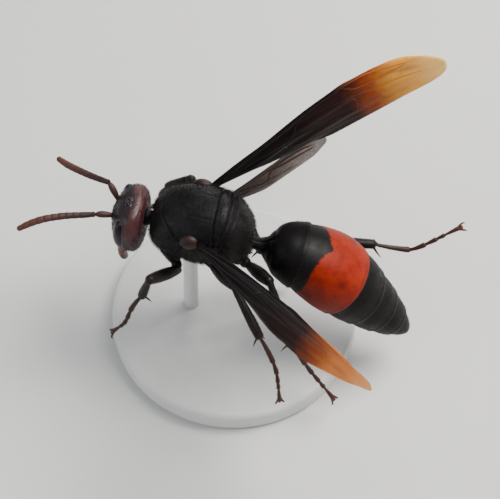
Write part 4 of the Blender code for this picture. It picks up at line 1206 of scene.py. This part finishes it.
def build_mouth(jaw, shell, palp, eye):
    for side_name, side in SIDES:
        part = gathered(mandible_parts(side))
        add_piece(f"jaw_{side_name}", part, [jaw], [f"mandible_{side_name}"],
                  {"along": (JAW_TOP - head_place(part[0])[2]) / JAW_LENGTH})
    wave = np.linspace(0, pi, NECK_RINGS)
    neck = rod(NECK_ENDS, 0.72 + 0.04 * np.cos(wave * 6) - 0.10 * np.sin(wave), NECK_RINGS, NECK_SIDES)
    add_piece("neck_skin", neck, [shell], ["neck"])
    add_piece("mouthparts", gathered(mouthpart_parts()), [palp], [])
    add_piece("ocelli", gathered(ocelli_parts()), [eye], [])


def build_feelers(scape_look, whip_look):
    for side_name, side in SIDES:
        scape, whip, shares = antenna_grids(side_name, side)
        for name, node, grid, along, look in (
                ("base", "scape", scape, np.linspace(0, 1, len(scape)), scape_look),
                ("whip", "flagellum", whip, shares, whip_look)):
            add_piece(f"feeler_{name}_{side_name}", closed_tube(grid), [look], [f"{node}_{side_name}"],
                      {"along": ring_values(along, ANTENNA_SIDES)})


def build_legs(shell, foot_look):
    skins = {}
    for leg_name in LEG_COURSES:
        black, feet, shin, foot_along = leg_grids(leg_name)
        nodes = [f"{part}_{leg_name}" for part in ("coxa", "femur", "tibia")]
        add_piece(f"leg_{leg_name}", gathered(map(closed_tube, black)), [shell], nodes)
        parts = list(map(closed_tube, feet)) + leg_fittings(leg_name, shin, foot_along)
        along = np.concatenate([np.full(len(part[0]), 0.12 * i) for i, part in enumerate(parts)])
        add_piece(f"foot_{leg_name}", gathered(parts), [foot_look], [f"tarsus_{leg_name}"],
                  {"along": along})
        skins[leg_name] = (black, feet)
    return skins


def tegula_grid(side):
    """The small shell plate over the wing roots."""
    share = np.linspace(-1, 1, TEGULA_RINGS)
    angles = side * tau * np.arange(TEGULA_SIDES) / TEGULA_SIDES
    swell = np.sqrt(1 - (0.999 * share) ** 2)[:, None, None]
    outward = side * TEGULA_SIZE[1] * Y_AXIS
    upward = TEGULA_SIZE[2] * Z_AXIS - side * TEGULA_LEAN * Y_AXIS
    across = np.cos(angles)[:, None] * outward + np.sin(angles)[:, None] * upward
    centre = TEGULA_CENTRE * (1, side, 1)
    return centre + X_AXIS * (TEGULA_SIZE[0] * share)[:, None, None] + swell * across


def build_wings(fore_looks, hind_looks, tegula_look):
    for side_name, side in SIDES:
        make_wing("forewing", side_name, fore_looks[side_name])
        make_wing("hindwing", side_name, hind_looks)
        add_piece(f"tegula_cap_{side_name}", closed_tube(tegula_grid(side)), [tegula_look],
                  [f"tegula_{side_name}"],
                  {"along": ring_values(np.linspace(0, 1, TEGULA_RINGS), TEGULA_SIDES)})


def build_coats(thorax, head, gaster, legs, hair, fine_hair, band_hair):
    whole, = cells_of(1)
    turn = np.degrees(np.arctan2(np.abs(thorax[..., 1]), thorax[..., 2] + 0.3))
    weight = 0.75 + 0.25 * smoothstep(60, 120, turn)
    hair_coat("coat_thorax", [(thorax, weight, whole)], "thorax", hair, 1)
    forward, across, up = head_place(head)
    shield = np.hypot(across / 1.2, up - SHIELD_HEIGHT)
    weight = 0.8 - 0.5 * fade(0.8, 1.1, shield) * (forward > 0.5)
    weight = weight * smoothstep(1.12, 1.25, eye_reach(forward, across, up))
    hair_coat("coat_head", [(head, weight, whole)], "head", hair, 2)
    skins = []
    for number, ((grid, lit), cell) in enumerate(zip(gaster, cells_of(6))):
        ring = np.arange(len(grid))[:, None]
        clear = (ring > 4) * (ring < len(grid) - (5 if number < LAST_RING else 1))
        weight = (0.9 if number == 0 else 0.55 + 0.09 * number) * clear
        skins.append((grid, weight * (lit < 0), cell))
        if number == BAND_RING:
            band = (grid, weight * (lit > 0), whole)
    hair_coat("coat_band", [band], "band", band_hair, 4)
    hair_coat("coat_gaster", skins, "gaster", fine_hair, 3)
    for seed, (leg_name, (black, feet)) in enumerate(legs.items(), 10):
        weights = (0.9, 0.6, 0.6, 0.75) + (0.8,) * len(feet)
        skins = [(grid, np.full(grid.shape[:2], weight), cell)
                 for grid, weight, cell in zip(black + feet, weights, cells_of(9))]
        hair_coat(f"coat_leg_{leg_name}", skins, "leg", fine_hair, seed)


def build_stand(look):
    """A round base with a soft rim, and the rod that carries the hornet."""
    bend = np.linspace(0, pi / 2, STAND_ROUND_STEPS)
    inner = STAND_RADIUS - STAND_ROUND
    out, over = inner + STAND_ROUND * np.sin(bend), STAND_ROUND * (1 - np.cos(bend))
    base = [(inner - 0.1, 0.0), *zip(out, over), *zip(out[::-1], STAND_HEIGHT - over[::-1]),
            (inner - 0.1, STAND_HEIGHT)]
    pole = [(ROD_RADIUS, height) for height in np.linspace(STAND_HEIGHT - 0.05, THORAX_CENTRE[2] - 2.0, 12)]
    for name, profile, sides, x in (("base", base, BASE_SIDES, 0.0),
                                    ("rod", pole, ROD_SIDES, THORAX_CENTRE[0] + ROD_X)):
        turn = -tau * np.arange(sides) / sides
        radii, heights = np.array(profile).T[..., None]
        grid = np.stack((x + radii * np.cos(turn), radii * np.sin(turn), heights + 0 * turn), axis=-1)
        tube = closed_tube(grid - THORAX_CENTRE)
        add_piece(f"stand_{name}_skin", tube, [look], [f"stand_{name}"])


# Stage and lights. Each light: name, place and size in mm, power in watts and colour
FLOOR_HALF = 2500 * METRES_PER_MM
FLOOR_DROP = 0.02 * METRES_PER_MM
WORLD_COLOUR = (0.86, 0.90, 0.95, 1.0)
WORLD_STRENGTH = 0.42
LIGHTS = (
    ("key", (70, 40, 150), 90, 0.46, (1.0, 0.97, 0.92)),
    ("fill", (-130, -90, 90), 120, 0.10, (0.92, 0.96, 1.0)),
    ("back", (10, 160, 60), 90, 0.12, (1.0, 1.0, 1.0)),
)


def make_area(name, place, size, power, colour):
    """A soft light that looks at the thorax."""
    light = bpy.data.lights.new(name, "AREA")
    light.size, light.energy, light.color = size * METRES_PER_MM, power, colour
    lamp = add_to_scene(name, light)
    lamp.location = Vector(place) * METRES_PER_MM
    lamp.rotation_euler = (Vector(THORAX_CENTRE) - Vector(place)).to_track_quat("-Z", "Y").to_euler()


def build_stage(floor_look):
    mesh = bpy.data.meshes.new("floor")
    corners = [(x * FLOOR_HALF, y * FLOOR_HALF, 0) for x, y in ((-1, -1), (1, -1), (1, 1), (-1, 1))]
    mesh.from_pydata(corners, [], [(0, 1, 2, 3)])
    mesh.materials.append(floor_look)
    floor = add_to_scene("floor", mesh)
    floor.location.z = -FLOOR_DROP
    world = bpy.data.worlds.new("studio")
    world.use_nodes = True
    background = world.node_tree.nodes["Background"].inputs
    background["Color"].default_value = WORLD_COLOUR
    background["Strength"].default_value = WORLD_STRENGTH
    bpy.context.scene.world = world
    for light in LIGHTS:
        make_area(*light)


# The photo's view, seen from above and a little from the left, with a very long lens
CAMERA_AZIMUTH = radians(12)
CAMERA_ELEVATION = radians(60)
CAMERA_DISTANCE = 400.0
VIEW_WIDTH = 40.0
VIEW_SHIFT = (3.76, -2.2)
SENSOR = 36.0


def build_camera():
    right = np.array((cos(CAMERA_AZIMUTH), sin(CAMERA_AZIMUTH), 0.0))
    toward = np.cross(right, Z_AXIS) * cos(CAMERA_ELEVATION) + Z_AXIS * sin(CAMERA_ELEVATION)
    up = np.cross(toward, right)
    place = THORAX_CENTRE + right * VIEW_SHIFT[0] + up * VIEW_SHIFT[1] + toward * CAMERA_DISTANCE
    data = bpy.data.cameras.new("camera")
    data.sensor_width = SENSOR
    data.lens = SENSOR * CAMERA_DISTANCE / VIEW_WIDTH
    data.clip_start, data.clip_end = 0.01, 10.0
    camera = add_to_scene("camera", data)
    turn = Matrix(np.stack((right, up, toward), axis=1).tolist()).to_4x4()
    camera.matrix_world = Matrix.Translation(Vector(place * METRES_PER_MM)) @ turn
    bpy.context.scene.camera = camera


# The whole scene
black_shell = shell_material("black_shell", (0.003, 0.003, 0.004), (0.009, 0.008, 0.009), 0.46)
gaster_shell = shell_material("gaster_shell", (0.003, 0.003, 0.003), (0.006, 0.005, 0.006), 0.44, gloss=0.12)
leg_shell = shell_material("leg_shell", (0.005, 0.004, 0.005), (0.016, 0.011, 0.011), 0.42, 14.0)
forewing_vein = vein_material("forewing_vein", (0.006, 0.004, 0.004), (0.42, 0.105, 0.018))
# The two forewings are lit and shaded copies of one membrane: the right one is painted lighter and yellower,
# the left one darker and redder.
fore_looks = {
    "l": (forewing_material("forewing_membrane_l", (0.78, 0.22, 0.026), (0.88, 0.39, 0.060)), forewing_vein),
    "r": (forewing_material("forewing_membrane_r", (0.85, 0.36, 0.020), (0.95, 0.60, 0.11)), forewing_vein),
}
hind_looks = (hindwing_material(),
              vein_material("hindwing_vein", (0.016, 0.008, 0.007), (0.040, 0.018, 0.012)))
eye_look = eye_material()
thorax_grid, head_grid = build_trunk(black_shell, head_material(), eye_look)
gaster_grids = build_gaster(gaster_shell, band_material())
palp_look = graded_material("palp_shell", (0.07, 0.022, 0.014), (0.12, 0.040, 0.022), 0.5)
build_mouth(jaw_material(), black_shell, palp_look, eye_look)
build_feelers(graded_material("scape_shell", (0.024, 0.009, 0.008), (0.038, 0.013, 0.011), 0.48),
              graded_material("whip_shell", (0.022, 0.009, 0.008), (0.090, 0.031, 0.021), 0.58))
foot_look = graded_material("foot_shell", (0.034, 0.010, 0.008), (0.075, 0.023, 0.014), 0.48)
leg_skins = build_legs(leg_shell, foot_look)
build_wings(fore_looks, hind_looks,
            graded_material("tegula_shell", (0.008, 0.003, 0.003), (0.026, 0.007, 0.006), 0.50))
build_coats(thorax_grid, head_grid, gaster_grids, leg_skins,
            hair_material("hair_dark", (0.012, 0.009, 0.008), (0.032, 0.023, 0.019)),
            hair_material("hair_fine", (0.014, 0.010, 0.009), (0.036, 0.026, 0.021)),
            hair_material("hair_band", (0.28, 0.025, 0.006), (0.42, 0.060, 0.012)))
build_stand(stand_material())
build_stage(floor_material())
build_camera()
